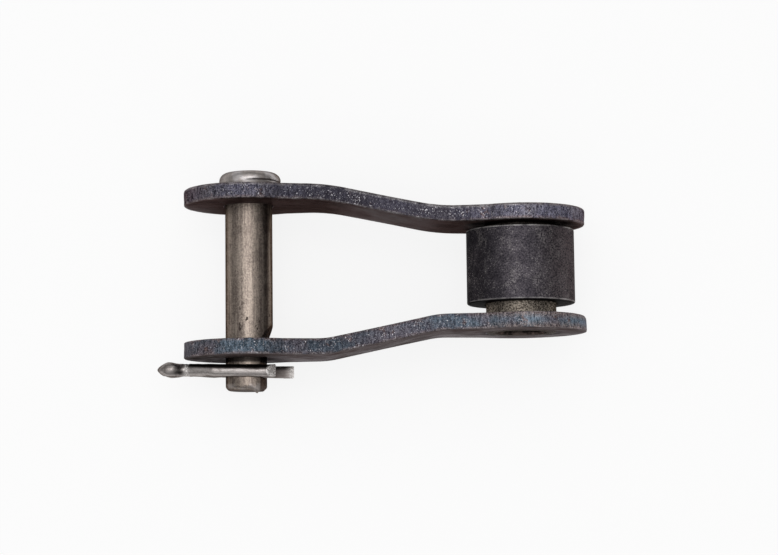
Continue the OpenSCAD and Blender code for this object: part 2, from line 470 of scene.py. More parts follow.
        # Faces: oil stains, dirt, scratches and pits, with painted shade and painted light
        fade = weighted((blot, mottle, crumb), self.fade_weights).step(self.fade_span)
        grime = weighted((patch, mottle, rolled, crumb), self.grime_weights).step(self.grime_span)
        # Painted shade, partly grease: the inner faces darkened round the bush, beside the roller.
        grease_and_shade = inner * away.fall(self.grease_and_shade_fall)
        smear = outer * away.fall(self.smear_fall) * rolled.step(self.smear_span)
        line = board.grain(place, self.line).step(self.line_span) * mottle.step(self.line_patch)
        scrape = outer * board.grain(place, self.scrape).step(self.scrape_span) * fade
        pits = board.grain(place, self.pit).step(self.pit_span) * outer
        pits = pits * (self.pit_floor + fade * self.pit_gain)
        # Painted light: a lighter band on the slope and low down at the pin end of the inner face.
        tip = x.fall(self.tip_fall) * z.fall(self.tip_top)
        painted_light = x.zone(self.slope_rise, self.slope_fall).larger(tip)
        painted_light = painted_light * fade.lift(self.painted_light_floor) * self.painted_light_share
        # Painted shade: the faces darker towards +Z.
        shade = z.step(self.shade_rise) * mottle.step(self.shade_span).lift(self.shade_floor)
        shade = shade * self.top_painted_shade
        # Painted shade, partly oil: the outer face darkened low down beside the pin, below the cotter.
        beside = abs(x + (self.pitch + self.oil_and_shade_shift))
        oil_and_shade = outer * beside.fall(self.oil_and_shade_fall) * z.fall(self.oil_and_shade_top)
        oil_and_shade = oil_and_shade * mottle.step(self.oil_and_shade_span).lift(self.oil_and_shade_floor) * flat * self.pin_oil_and_shade
        # Painted shade: the inner faces, which face each other between the plates, take darker colours
        # than the outer faces.
        face = board.mix(
            inner,
            board.mix(fade, self.outer_dark, self.outer_light),
            board.mix(fade, self.inner_dark, self.inner_light),
        )
        face = board.paint(face, (
            (line * self.line_share, self.scratch),
            (scrape * self.scrape_share, self.scratch),
            (pits, self.grease_and_shade),
            (rim.step(self.rim_span) * crumb.step(self.rim_crumb) * self.rim_share, self.scratch),
            (grime * self.grime_share, self.dirt_and_shade),
            (painted_light, self.painted_light),
            (shade, self.dirt_and_shade),
            ((grease_and_shade * self.grease_and_shade_share).larger(smear * self.smear_share), self.grease_and_shade),
            (oil_and_shade, self.grease_and_shade),
        ))
        # Sheared edges: blue temper, rust and scale
        grit = weighted((crumb, streak), self.grit_weights).step(self.grit_span)
        tint = board.mix(grit, self.tint_dark, self.tint_light)
        rust = board.mix(grit, self.rust_dark, self.rust_light)
        scale = board.mix(grit, self.rust_dark, self.flake)
        rusty = (-1.0 * from_middle).step(self.rust_rise) * self.rust_share
        rusty = rusty.larger(lip.step(self.lip_span) * mottle.step(self.lip_patch))
        rusty = rusty.larger(mottle.step(self.spot_span) * self.spot_share)
        crust = x.step(self.crust_rise) * lip.step(self.crust_lip)
        crust = crust * crumb.step(self.crust_crumb).lift(self.crust_floor)
        edge = board.paint(board.mix(grit, self.edge_dark, self.edge_light), (
            (patch.step(self.tint_span) * self.tint_share, tint),
            (rusty, rust),
            (crust * self.end_scale, scale),
        ))
        # Both together, with painted light along the edges, burr, painted glints and painted highlights
        waist = abs(from_middle).fall(self.waist_fall) * wall * self.waist_dim
        colour = board.paint(board.mix(wall, face, edge), ((waist, self.edge_dark),))
        # Painted light: the edges brightened along X, most at the bush end.
        painted_edge_ramps = (x.step(self.slope_painted_edge), x.step(self.bush_painted_edge), x.fall(self.pin_painted_edge))
        painted_edge_light = weighted(painted_edge_ramps, self.painted_edge_weights) * wall
        colour = board.scale(colour, 1.0 + painted_edge_light * self.painted_edge_gain)
        burr = rim.step(self.burr_span) * mottle.step(self.burr_patch)
        burr = burr * crumb.step(self.burr_crumb).lift(self.burr_floor)
        # Painted glints on the edges and painted highlights along the arrises.
        glint = board.grain(place, self.fleck).step(self.fleck_span) * wall
        glint = glint * mottle.step(self.glint_patch).lift(self.glint_floor)
        shine = rim * mottle.step(self.shine_patch) * crumb.step(self.shine_crumb)
        shine = glint.larger(shine * self.shine_share)
        colour = board.paint(colour, ((burr * self.burr_share, self.burr), (shine, self.bare_and_highlight)))
        height = weighted((crumb, mottle), self.grain_relief) * wall.lift(self.face_relief)
        height = streak * wall * self.streak_relief + height - pits * flat * self.pit_relief
        film = grime.larger(smear).larger(painted_light).larger(shade) * flat
        metal = self.metal + wall * self.wall_metal - film * self.film_metal - oil_and_shade * self.oil_and_shade_metal
        rough = self.rough + wall * self.wall_rough + (crumb - NOISE_MEAN) * self.crumb_rough
        board.surface({
            "Base Color": colour,
            "Metallic": metal + (fade - NOISE_MEAN) * flat * self.face_gloss,
            "Roughness": rough + film * self.film_rough - shine * self.shine_rough,
            "Normal": board.bump(height, *self.relief),
            "Specular IOR Level": 0.0,
            "Specular Tint": (*self.sheen, 1.0),
        })


@dataclass(frozen=True)
class RollerFinish(Finish):
    """Graphite-dark roller steel with turned rings, pale specks, worn rims that are partly a painted
    highlight, and painted shade on its ends, its bore and one side.
    """

    # Colours
    dark: Colour = (0.0150, 0.0138, 0.0180)
    light: Colour = (0.108, 0.096, 0.109)
    brown: Colour = (0.158, 0.128, 0.129)
    soot: Colour = (0.016, 0.014, 0.015)
    speck: Colour = (0.30, 0.28, 0.275)
    bare_and_highlight: Colour = (0.60, 0.58, 0.57)
    sheen: Colour = (0.25, 0.23, 0.22)
    # Noises
    patch: Grain = Grain(0.30, 4.0, 0.62)
    ring: Grain = Grain(2.6, 4.0, 0.6, (0.05, 1.0, 0.05))
    crumb: Grain = Grain(4.4, 3.0, 0.75)
    dot: Grain = Grain(5.0, 2.0)
    scuff: Grain = Grain(0.75, 4.0, 0.65, (1.0, 0.4, 1.0))
    # Places in millimetres
    brown_side: Span = (1.0, 7.0)
    painted_shade_side: Span = (-7.5, -2.0)
    worn_rise: Span = (-4.0, 4.0)
    # Spans of the masks
    tone_span: Span = (0.36, 0.66)
    brown_crumb: Span = (0.36, 0.64)
    dot_span: Span = (0.58, 0.67)
    dot_patch: Span = (0.40, 0.58)
    scuff_span: Span = (0.52, 0.66)
    scuff_crumb: Span = (0.42, 0.60)
    worn_rim: Span = (0.55, 1.0)
    worn_patch: Span = (0.36, 0.62)
    # Weights and shares
    tone_weights: tuple[float, ...] = (0.28, 0.72)
    relief_weights: tuple[float, ...] = (0.3, 0.7)
    brown_share: float = 0.75
    dark_share: float = 0.55
    dot_share: float = 0.7
    scuff_share: float = 0.4
    painted_shade_share: float = 0.85
    worn_floor: float = 0.35
    worn_gain: float = 0.9
    low_worn: float = 0.65
    high_worn: float = 0.45
    metal: float = 0.85
    rough: float = 0.52
    crumb_rough: float = 0.3
    worn_rough: float = 0.12
    specular: float = 0.25
    relief: Span = (0.035, 0.75)

    def dress(self, board: Board) -> None:
        """Adds the nodes of the finish to its board."""
        place = board.place()
        side, along = board.part(place, "X"), board.part(place, "Y")
        patch, ring, crumb, dots, scuffs = board.grains(
            place, self.patch, self.ring, self.crumb, self.dot, self.scuff
        )
        tone = weighted((patch, crumb), self.tone_weights).step(self.tone_span)
        browned = side.step(self.brown_side) * crumb.step(self.brown_crumb)
        dots = dots.step(self.dot_span) * patch.step(self.dot_patch)
        scuffs = scuffs.step(self.scuff_span) * crumb.step(self.scuff_crumb)
        worn = board.carried(RIM).step(self.worn_rim) * patch.step(self.worn_patch)
        worn = worn * (self.worn_floor + crumb * self.worn_gain)
        worn = worn * (self.low_worn + along.step(self.worn_rise) * self.high_worn)
        colour = board.paint(board.mix(tone, self.dark, self.light), (
            (browned * self.brown_share, self.brown),
            # Painted shade on the -X side
            (side.fall(self.painted_shade_side) * self.dark_share, self.dark),
            (dots * self.dot_share, self.speck),
            (scuffs * self.scuff_share, self.speck),
            # Worn rims, brighter at the high end, partly a painted highlight
            (worn, self.bare_and_highlight),
            # Painted shade on the ends, shoulders and bore
            (board.carried(DULL) * self.painted_shade_share, self.soot),
        ))
        rough = self.rough + (crumb - NOISE_MEAN) * self.crumb_rough - worn * self.worn_rough
        board.surface({
            "Base Color": colour,
            "Metallic": self.metal,
            "Roughness": rough,
            "Normal": board.bump(weighted((ring, crumb), self.relief_weights), *self.relief),
            "Specular IOR Level": self.specular,
            "Specular Tint": (*self.sheen, 1.0),
        })


@dataclass(frozen=True)
class BushFinish(Finish):
    """Speckled yellowish grey bush steel, with painted shade, partly oil, in its bore and in a band
    beside the roller.
    """

    # Colours
    dark: Colour = (0.042, 0.034, 0.029)
    light: Colour = (0.44, 0.385, 0.32)
    brown: Colour = (0.105, 0.080, 0.074)
    oil_and_shade: Colour = (0.012, 0.010, 0.010)
    bare_and_highlight: Colour = (0.40, 0.37, 0.34)
    sheen: Colour = (0.10, 0.07, 0.06)
    # Noises
    mottle: Grain = Grain(1.1, 4.0, 0.6)
    crumb: Grain = Grain(4.2, 3.0, 0.7)
    # Places in millimetres
    oil_and_shade_rise: Span = (5.4, 6.0)
    oil_and_shade_fall: Span = (7.2, 7.8)
    bore_fall: Span = (3.75, 4.25)
    # Spans of the masks
    tone_span: Span = (0.40, 0.62)
    dark_span: Span = (0.40, 0.75)
    worn_span: Span = (0.40, 0.65)
    end_span: Span = (0.35, 0.65)
    bore_span: Span = (0.40, 0.60)
    # Weights and shares
    dark_share: float = 0.4
    worn_share: float = 0.4
    end_share: float = 0.85
    oil_and_shade_share: float = 0.9
    relief_weights: tuple[float, ...] = (0.6, 0.3)
    metal: float = 0.9
    rough: float = 0.48
    crumb_rough: float = 0.3
    worn_rough: float = 0.1
    relief: Span = (0.05, 0.8)

    def dress(self, board: Board) -> None:
        """Adds the nodes of the finish to its board."""
        place = board.place()
        mottle, crumb = board.grains(place, self.mottle, self.crumb)
        worn = board.carried(RIM) * mottle.step(self.worn_span)
        # Painted shade, partly oil: a band of the bush beside the roller and the bore darkened.
        oiled_and_shaded = board.part(place, "Y").zone(self.oil_and_shade_rise, self.oil_and_shade_fall)
        bore = board.away(place).fall(self.bore_fall)
        stained = board.mix(mottle.step(self.end_span), self.dark, self.brown)
        oily_and_shaded = board.mix(mottle.step(self.bore_span), self.oil_and_shade, self.brown)
        tone = crumb.step(self.tone_span)
        colour = board.paint(board.mix(tone, self.dark, self.light), (
            (mottle.step(self.dark_span) * self.dark_share, self.dark),
            (worn * self.worn_share, self.bare_and_highlight),
            (board.carried(DULL) * self.end_share, stained),
            (oiled_and_shaded * self.oil_and_shade_share, self.oil_and_shade),
            (bore * self.oil_and_shade_share, oily_and_shaded),
        ))
        rough = self.rough + (crumb - NOISE_MEAN) * self.crumb_rough - worn * self.worn_rough
        board.surface({
            "Base Color": colour,
            "Metallic": self.metal,
            "Roughness": rough,
            "Normal": board.bump(weighted((crumb, mottle), self.relief_weights), *self.relief),
            "Specular Tint": (*self.sheen, 1.0),
        })


@dataclass(frozen=True)
class PinFinish(Finish):
    """Bare satin pin steel, drawn along its length, with pits above the locking flat, painted highlights
    on its head, painted shade on its neck and a painted dark reflection along one side.
    """

    axis: float
    # Colours
    dark: Colour = (0.125, 0.100, 0.087)
    light: Colour = (0.350, 0.295, 0.250)
    stain_and_shade: Colour = (0.055, 0.042, 0.038)
    black: Colour = (0.010, 0.008, 0.008)
    bare_and_highlight: Colour = (0.50, 0.475, 0.475)
    sheen: Colour = (0.12, 0.10, 0.09)
    # Noises
    drawn: Grain = Grain(2.4, 5.0, 0.65, (1.0, 0.04, 1.0))
    patch: Grain = Grain(0.55, 4.0, 0.6)
    crumb: Grain = Grain(4.4, 3.0, 0.75, (1.0, 0.8, 1.0))
    pit: Grain = Grain(1.35, 1.0, 0.55, (1.0, 0.7, 1.0))
    # Places in millimetres
    head_rise: Span = (12.6, 13.0)
    band_fall: Span = (13.7, 14.0)
    tail_fall: Span = (-15.0, -14.0)
    neck_rise: Span = (-13.75, -13.35)
    neck_fall: Span = (-12.7, -12.3)
    pit_rise: Span = (-9.5, -8.5)
    pit_fall: Span = (-6.0, -4.0)
    oil_and_shade_line: float = 2.65
    oil_and_shade_fall: Span = (0.11, 0.55)
    oil_and_shade_top: Span = (0.0, 1.0)
    # Spans of the masks
    tone_span: Span = (0.37, 0.63)
    oil_and_shade_patch: Span = (0.35, 0.6)
    stain_patch: Span = (0.50, 0.75)
    bare_and_highlight_patch: Span = (0.40, 0.60)
    pit_span: Span = (0.635, 0.70)
    # Weights and shares
    tone_weights: tuple[float, ...] = (0.5, 0.5)
    oil_and_shade_floor: float = 0.25
    oil_and_shade_gain: float = 0.35
    stain_share: float = 0.45
    tail_share: float = 0.25
    neck_share: float = 0.9
    head_floor: float = 0.45
    head_gain: float = 0.5
    band_share: float = 0.4
    rim_share: float = 0.4
    pit_floor: float = 0.15
    pit_share: float = 0.8
    relief_weights: tuple[float, ...] = (0.2, 0.75, -1.6)
    rough: float = 0.33
    crumb_rough: float = 0.3
    pit_rough: float = 0.2
    relief: Span = (0.05, 0.8)

    def dress(self, board: Board) -> None:
        """Adds the nodes of the finish to its board."""
        place = board.place()
        x, along, z = (board.part(place, axis) for axis in "XYZ")
        drawn, patch, crumb, pits = board.grains(
            place, self.drawn, self.patch, self.crumb, self.pit
        )
        pitted = along.zone(self.pit_rise, self.pit_fall).lift(self.pit_floor)
        pits = pits.step(self.pit_span) * pitted
        tone = weighted((drawn, crumb), self.tone_weights).step(self.tone_span)
        head = along.step(self.head_rise)
        # Painted dark reflection, as a dark line along one side of the pin.
        oil_and_shade = abs(x - (self.axis + self.oil_and_shade_line)).fall(self.oil_and_shade_fall) * z.step(self.oil_and_shade_top)
        oil_and_shade = oil_and_shade * (self.oil_and_shade_floor + patch.step(self.oil_and_shade_patch) * self.oil_and_shade_gain) * (1.0 - head)
        stains = patch.step(self.stain_patch) * self.stain_share
        stains = stains + along.fall(self.tail_fall) * self.tail_share
        # Painted highlights: the head lightened in blotches, and the rims lightened as wear.
        bright = patch.step(self.bare_and_highlight_patch)
        # Painted shade on the neck between the plate and the cotter.
        colour = board.paint(board.mix(tone, self.dark, self.light), (
            (oil_and_shade, self.stain_and_shade),
            (stains, self.stain_and_shade),
            (along.zone(self.neck_rise, self.neck_fall) * self.neck_share, self.black),
            (head * (self.head_floor + bright * self.head_gain), self.bare_and_highlight),
            (head * along.fall(self.band_fall) * self.band_share, self.stain_and_shade),
            (board.carried(RIM) * bright * self.rim_share, self.bare_and_highlight),
            (pits * self.pit_share, self.stain_and_shade),
        ))
        rough = self.rough + (crumb - NOISE_MEAN) * self.crumb_rough + pits * self.pit_rough
        board.surface({
            "Base Color": colour,
            "Metallic": 1.0,
            "Roughness": rough,
            "Normal": board.bump(weighted((drawn, crumb, pits), self.relief_weights), *self.relief),
            "Specular Tint": (*self.sheen, 1.0),
        })


@dataclass(frozen=True)
class CotterFinish(Finish):
    """Bright drawn wire of the split cotter: dull flats that are also painted darker as shade, painted
    shade towards the plate and behind the eye, and torn ends that are partly a painted highlight.
    """

    # Colours
    dark: Colour = (0.25, 0.225, 0.215)
    light: Colour = (0.50, 0.465, 0.45)
    torn: Colour = (0.84, 0.81, 0.79)
    stain_and_shade: Colour = (0.085, 0.068, 0.062)
    soot: Colour = (0.014, 0.011, 0.011)
    sheen: Colour = (0.28, 0.25, 0.235)
    # Noises
    drawn: Grain = Grain(4.0, 4.0, 0.6, (0.06, 1.0, 1.0))
    patch: Grain = Grain(0.9, 4.0, 0.6)
    crumb: Grain = Grain(5.5, 3.0, 0.65)
    # Place of the eye in millimetres
    eye_fall: Span = (-52.8, -50.8)
    # Spans of the masks
    tone_span: Span = (0.30, 0.68)
    stain_patch: Span = (0.52, 0.74)
    eye_patch: Span = (0.40, 0.62)
    torn_rim: Span = (0.5, 0.9)
    torn_crumb: Span = (0.38, 0.58)
    # Weights and shares
    tone_weights: tuple[float, ...] = (0.55, 0.45)
    stain_share: float = 0.55
    eye_floor: float = 0.12
    eye_gain: float = 0.45
    dull_and_shade_share: float = 0.7
    painted_shade_share: float = 0.9
    torn_share: float = 0.9
    drawn_relief: float = 0.4
    crumb_relief: float = 0.5
    torn_relief: float = 2.0
    rough: float = 0.29
    rough_weights: tuple[float, ...] = (0.2, 0.08, 0.18, 0.2)
    relief: Span = (0.025, 0.7)

    def dress(self, board: Board) -> None:
        """Adds the nodes of the finish to its board."""
        place = board.place()
        drawn, patch, crumb = board.grains(place, self.drawn, self.patch, self.crumb)
        dull = board.carried(DULL)
        tone = weighted((drawn, crumb), self.tone_weights).step(self.tone_span)
        eye = board.part(place, "X").fall(self.eye_fall)
        eye = eye * (self.eye_floor + patch.step(self.eye_patch) * self.eye_gain)
        torn = board.carried(RIM).step(self.torn_rim)
        colour = board.paint(board.mix(tone, self.dark, self.light), (
            (patch.step(self.stain_patch) * self.stain_share, self.stain_and_shade),
            (eye, self.stain_and_shade),
            # Dull flats, also darkened as painted shade
            (dull * self.dull_and_shade_share, self.stain_and_shade),
            # Painted shade on the side towards the plate and in a pocket behind the eye
            (board.carried(PAINTED_SHADE) * self.painted_shade_share, self.soot),
            # Torn ends, partly a painted highlight
            (torn * crumb.step(self.torn_crumb) * self.torn_share, self.torn),
        ))
        uneven = weighted((crumb - NOISE_MEAN, patch, dull, torn), self.rough_weights)
        height = drawn * self.drawn_relief + crumb * (self.crumb_relief + torn * self.torn_relief)
        board.surface({
            "Base Color": colour,
            "Metallic": 1.0,
            "Roughness": self.rough + uneven,
            "Normal": board.bump(height, *self.relief),
            "Specular Tint": (*self.sheen, 1.0),
        })


@dataclass(frozen=True)
class FloorFinish(Finish):
    """White floor that stays white to the camera and still takes the shadow."""

    white: Colour = (0.86, 0.86, 0.86)
    glow: float = 1.0
    shown: float = 0.84

    def dress(self, board: Board) -> None:
        """Adds the nodes of the finish to its board."""
        matt = board.node("ShaderNodeBsdfDiffuse", {}, {"Color": (*self.white, 1.0)})
        white = board.node("ShaderNodeEmission", {}, {"Strength": self.glow})
        seen = board.node("ShaderNodeLightPath", output="Is Camera Ray")
        for ray in ("Is Glossy Ray", "Is Transmission Ray"):
            seen = seen.larger(board.node("ShaderNodeLightPath", output=ray))
        shader = board.node("ShaderNodeMixShader", {}, {0: seen * self.shown, 1: matt, 2: white})
        board.node("ShaderNodeOutputMaterial", {}, {"Surface": shader})


@dataclass(frozen=True)
class Rough:
    """Unevenness of a shape: its depth, its swings to the millimetre and its seed."""

    depth: float
    swings: Union[float, Place]
    seed: float = 0.0

    def at(self, points: np.ndarray, seed: float = 0.0) -> np.ndarray:
        """Noise at some points.

        Args:
            points: Places in millimetres, one to a row.
            seed: Shift that makes one piece differ from another.

        Returns:
            Values from about -depth to depth, one to a point.
        """
        shift = (seed + self.seed) * np.array(SEED_WAY)
        places = points * np.asarray(self.swings) + shift
        return self.depth * np.array([noise.noise(Vector(place)) for place in places])


def polar(radius: float, angles: np.ndarray) -> np.ndarray:
    """Points of a circle about the origin, one to an angle."""
    return radius * np.column_stack((np.cos(angles), np.sin(angles)))


def full_turn(count: int) -> np.ndarray:
    """Angles of a full turn in equal steps."""
    return np.linspace(0.0, FULL_TURN, count, endpoint=False)


def ramp(values: Share, start: float, length: float) -> Share:
    """Straight rise from 0 at the start to 1 over a length, and level outside it."""
    return np.clip((values - start) / length, 0.0, 1.0)


def inside(loop: np.ndarray, points: np.ndarray) -> np.ndarray:
    """Tests points against a closed loop.

    Args:
        loop: Corners of the loop, in order.
        points: Points to test.

    Returns:
        True for each point inside the loop.
    """
    x, y = points[:, 0][:, None], points[:, 1][:, None]
    ax, ay = loop[:, 0], loop[:, 1]
    bx, by = np.roll(ax, -1), np.roll(ay, -1)
    rise = np.where(by == ay, TINY, by - ay)
    crossed = ((ay > y) != (by > y)) & (x < (bx - ax) * (y - ay) / rise + ax)
    return crossed.sum(axis=1) % 2 == 1


class Draft:
    """Vertices and faces of a piece while it is being made, in millimetres."""

    def __init__(self) -> None:
        """Starts with nothing."""
        self.points: list[np.ndarray] = []
        self.layers: dict[str, list[np.ndarray]] = {RIM: [], DULL: [], PAINTED_SHADE: []}
        self.faces: list[Face] = []
        self.count = 0

    def add(
        self, points: np.ndarray, rim: Share = 0.0, dull: Share = 0.0, soot: Share = 0.0
    ) -> np.ndarray:
        """Adds vertices.

        Args:
            points: Places in millimetres.
            rim: Share of edge wear, one value or one to a vertex.
            dull: Share of dullness, one value or one to a vertex.
            soot: Share of painted shade, one value or one to a vertex.

        Returns:
            Index of each new vertex.
        """
        points = np.asarray(points, float).reshape(-1, 3)
        self.points.append(points)
        for name, share in ((RIM, rim), (DULL, dull), (PAINTED_SHADE, soot)):
            self.layers[name].append(np.broadcast_to(np.asarray(share, float), len(points)))
        self.count += len(points)
        return np.arange(self.count - len(points), self.count)

    def bridge(self, rings: Sequence[np.ndarray]) -> None:
        """Adds a band of quads between each closed ring and the next, all of equal length."""
        for first, second in zip(rings, rings[1:]):
            after, beyond = np.roll(first, -1), np.roll(second, -1)
            self.faces += [tuple(map(int, four)) for four in zip(first, after, beyond, second)]

    def fan(self, ring: np.ndarray, centre: np.ndarray, rim: float = 0.0) -> None:
        """Closes a ring with triangles to a new vertex at its centre."""
        middle = int(self.add(centre, rim)[0])
        self.faces += [(int(a), int(b), middle) for a, b in zip(ring, np.roll(ring, -1))]

    def finish(self, name: str, crease: float) -> bpy.types.Object:
        """Makes the Blender object.

        Args:
            name: Name of the piece.
            crease: Angle in degrees above which an edge stays sharp.

        Returns:
            The new object, in metres.
        """
        mesh = bpy.data.meshes.new(name)
        mesh.from_pydata(np.concatenate(self.points) * MM, [], self.faces)
        for layer_name, values in self.layers.items():
            layer = mesh.attributes.new(layer_name, "FLOAT", "POINT")
            layer.data.foreach_set("value", np.concatenate(values).astype(np.float32))
        shape = bmesh.new()
        shape.from_mesh(mesh)
        bmesh.ops.recalc_face_normals(shape, faces=shape.faces)
        shape.to_mesh(mesh)
        shape.free()
        smooth(mesh, crease)
        piece = bpy.data.objects.new(name, mesh)
        bpy.context.scene.collection.objects.link(piece)
        return piece


def smooth(mesh: bpy.types.Mesh, crease: float) -> None:
    """Shades a mesh smooth, apart from edges sharper than an angle in degrees."""
    mesh.shade_smooth()
    mesh.set_sharp_from_angle(angle=math.radians(crease))


def settle(piece: bpy.types.Object, node: str, body: Body, finish: Finish) -> None:
    """Dresses a piece and puts it in the place of its CAD node.

    Args:
        piece: The finished mesh object.
        node: CAD node that it stands for.
        body: Body that it rides on.
        finish: Finish of the piece.
    """
    piece.data.materials.append(finish.build())
    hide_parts(node)
    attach(piece, body.value)


@dataclass(frozen=True)
class LinkFrame:
    """Sizes of the link in millimetres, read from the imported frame."""

    pitch: float
    pin_radius: float
    pin_span: float
    bore_radius: float
    bush_radius: float
    bush_half: float
    roller_radius: float
    roller_low: float
    roller_high: float
    end_radius: float
    outer_face: float
    inner_face: float
    pin_low: float
    pin_high: float
    head_radius: float

    @classmethod
    def read(cls) -> "LinkFrame":
        """Reads the mounts of the record and the boxes of the CAD nodes."""
        mounts = {mount["name"]: mount for mount in frame["record"]["mounts"]}
        span, bore = mounts["pin_span"], mounts["bush_bore"]
        plate, bush, roller, pin = (
            [corner * PER_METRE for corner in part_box(node)]
            for node in ("head_side_plate", "bush", "roller", "connecting_pin")
        )
        return cls(
            pitch=-span["pos_m"][0] * PER_METRE,
            pin_radius=span["dims"]["r_mm"],
            pin_span=span["dims"]["length_mm"],
            bore_radius=bore["dims"]["r_mm"],
            bush_radius=bush[1].x,
            bush_half=bush[1].y,
            roller_radius=roller[1].x,
            roller_low=roller[0].y,
            roller_high=roller[1].y,
            end_radius=plate[1].z,
            outer_face=plate[1].y,
            inner_face=plate[0].y,
            pin_low=pin[0].y,
            pin_high=pin[1].y,
            head_radius=0.5 * (pin[1].x - pin[0].x),
        )

    @property
    def thickness(self) -> float:
        """Thickness of the plate steel."""
        return self.outer_face - 0.5 * self.pin_span


@dataclass
class CrankedPlate:
    """One waisted and cranked side plate with sheared edges."""

    link: LinkFrame
    name: str
    node: str
    side: float
    hole: HoleShape
    seed: float
    # Outline, crank and holes
    waist_height: float = 13.7
    waist_radius: float = 80.0
    first_bend: float = 11.8
    second_bend: float = 12.7
    bend_radius: float = 14.0
    pin_gap: float = 0.1
    hole_flat: float = 2.645
    bush_seam: float = 0.015
    hole_edge: float = 0.16
    edge_share: float = 0.35
    hole_steps: int = 96
    flat_part: int = 5
    # Rolled, sheared and torn edge
    outer_roll: float = 0.42
    inner_roll: float = 0.24
    outer_wear: float = 0.7
    inner_wear: float = 1.2
    inner_wear_share: float = 0.8
    fracture_from: float = 0.42
    fracture_fade: float = 0.2
    fracture_depth: float = 0.08
    tear_level: float = 0.55
    tear: Rough = Rough(0.6, (1.6, 2.2, 1.6))
    fine_tear: Rough = Rough(0.35, (4.0, 3.2, 4.0), 5.0)
    lines: Rough = Rough(0.010, (3.4, 0.25, 3.4), 9.0)
    dents: Rough = Rough(0.12, (0.55, 0.4, 0.55), 14.0)
    dent_from: float = 0.35
    burr: Rough = Rough(0.075, 2.4, 21.0)
    end_wear: float = 0.0
    end_wear_depth: float = 0.7
    end_wear_from: float = 4.5
    end_wear_fade: float = 4.0
    # Fineness of the mesh
    edge_step: float = 0.16
    edge_passes: int = 6
    least_steps: int = 8
    roll_rows: int = 6
    wall_rows: int = 12
    sheet_step: float = 1.4
    bend_step: float = 0.5
    bend_reach: float = 4.0
    wear_width: float = 0.7
    ring_skip: int = 4
    hole_rings: tuple[tuple[float, int], ...] = ((1.02, 1), (1.14, 3))
    hole_clear: float = 1.25
    weld: float = 1e-6
    crease: float = 34.0

    def _arcs(self) -> list[tuple[np.ndarray, float, float, float]]:
        """Centre, radius, first and last angle of the arcs of the outline, anticlockwise."""
        half, reach = 0.5 * self.link.pitch, self.link.end_radius
        rise = 0.5 * self.waist_height + self.waist_radius
        apart = math.hypot(half, rise)
        along = (apart**2 + reach**2 - self.waist_radius**2) / (2.0 * apart)
        open_angle = math.atan2(rise, -half) + math.acos(along / reach)
        knee = (reach * math.cos(open_angle), reach * math.sin(open_angle))
        waist_angle = math.atan2(knee[1] - rise, knee[0] + half)
        mirror = -math.pi - waist_angle
        bush, pin = np.array((0.0, 0.0)), np.array((-self.link.pitch, 0.0))
        above, below = np.array((-half, rise)), np.array((-half, -rise))
        return [
            (bush, reach, -open_angle, open_angle),
            (above, self.waist_radius, waist_angle, mirror),
            (pin, reach, math.pi - open_angle, math.pi + open_angle),
            (below, self.waist_radius, -mirror, -waist_angle),
        ]

    def outline(self) -> Row:
        """Walks round the plate.

        Returns:
            Points of the outline in X and Z, and the outward direction at each.
        """
        points = []
        for centre, radius, first, last in self._arcs():
            steps = max(self.least_steps, round(abs(last - first) * radius / self.edge_step))
            angles = first + (last - first) * np.arange(steps) / steps
            points.append(centre + polar(radius, angles))
        loop = np.concatenate(points)
        for _ in range(self.edge_passes):
            loop = 0.5 * loop + 0.25 * (np.roll(loop, 1, axis=0) + np.roll(loop, -1, axis=0))
        ahead = np.roll(loop, -1, axis=0) - np.roll(loop, 1, axis=0)
        ahead /= np.linalg.norm(ahead, axis=1)[:, None]
        return loop, np.column_stack((ahead[:, 1], -ahead[:, 0]))

    def face_level(self, x: np.ndarray, out: float) -> np.ndarray:
        """Height of a cranked face on the head side.

        Args:
            x: Places along X.
            out: Distance of the face outside the middle of the plate.

        Returns:
            Y of the face at each place.
        """
        half, bend = 0.5 * self.link.thickness, self.bend_radius
        pin_level = self.link.outer_face - half
        bush_level = self.link.inner_face + half
        run = self.link.pitch - self.first_bend - self.second_bend
        lean = math.atan2(pin_level - bush_level, run)
        tangent = bend * math.tan(0.5 * lean)
        away = x + self.link.pitch
        first_start = self.first_bend - tangent
        second_end = self.link.pitch - self.second_bend + tangent
        first_radius, second_radius = bend + out, bend - out
        first_end = first_start + first_radius * math.sin(lean)
        second_start = second_end - second_radius * math.sin(lean)
        into = np.clip(away - first_start, 0.0, first_end - first_start)
        left = np.clip(second_end - away, 0.0, second_end - second_start)
        first_arc = pin_level - bend + np.sqrt(first_radius**2 - into**2)
        second_arc = bush_level + bend - np.sqrt(second_radius**2 - left**2)
        drop = (away - first_end) * math.tan(lean)
        slope = pin_level - bend + first_radius * math.cos(lean) - drop
        beyond = np.where(away < second_start, slope, second_arc)
        return np.where(away < first_end, first_arc, beyond)

    def _profile(self) -> np.ndarray:
        """Depth below the outer face and inset of each row of the edge."""
        curve = np.linspace(0.0, 0.5 * math.pi, self.roll_rows)
        corner = np.column_stack((1.0 - np.cos(curve), 1.0 - np.sin(curve)))
        outer, inner = self.outer_roll * corner, self.inner_roll * corner[::-1]
        inner[:, 0] = self.link.thickness - inner[:, 0]
        last = self.link.thickness - self.inner_roll
        depths = np.linspace(self.outer_roll, last, self.wall_rows + 2)[1:-1]
        return np.concatenate((outer, np.column_stack((depths, np.zeros(self.wall_rows))), inner))

    def _place(self, flat: np.ndarray, depth: float) -> np.ndarray:
        """Points of the plate at a depth below its outer face, from their X and Z."""
        half = 0.5 * self.link.thickness
        top, bottom = self.face_level(flat[:, 0], half), self.face_level(flat[:, 0], -half)
        level = top + (bottom - top) * depth / self.link.thickness
        return np.column_stack((flat[:, 0], self.side * level, flat[:, 1]))

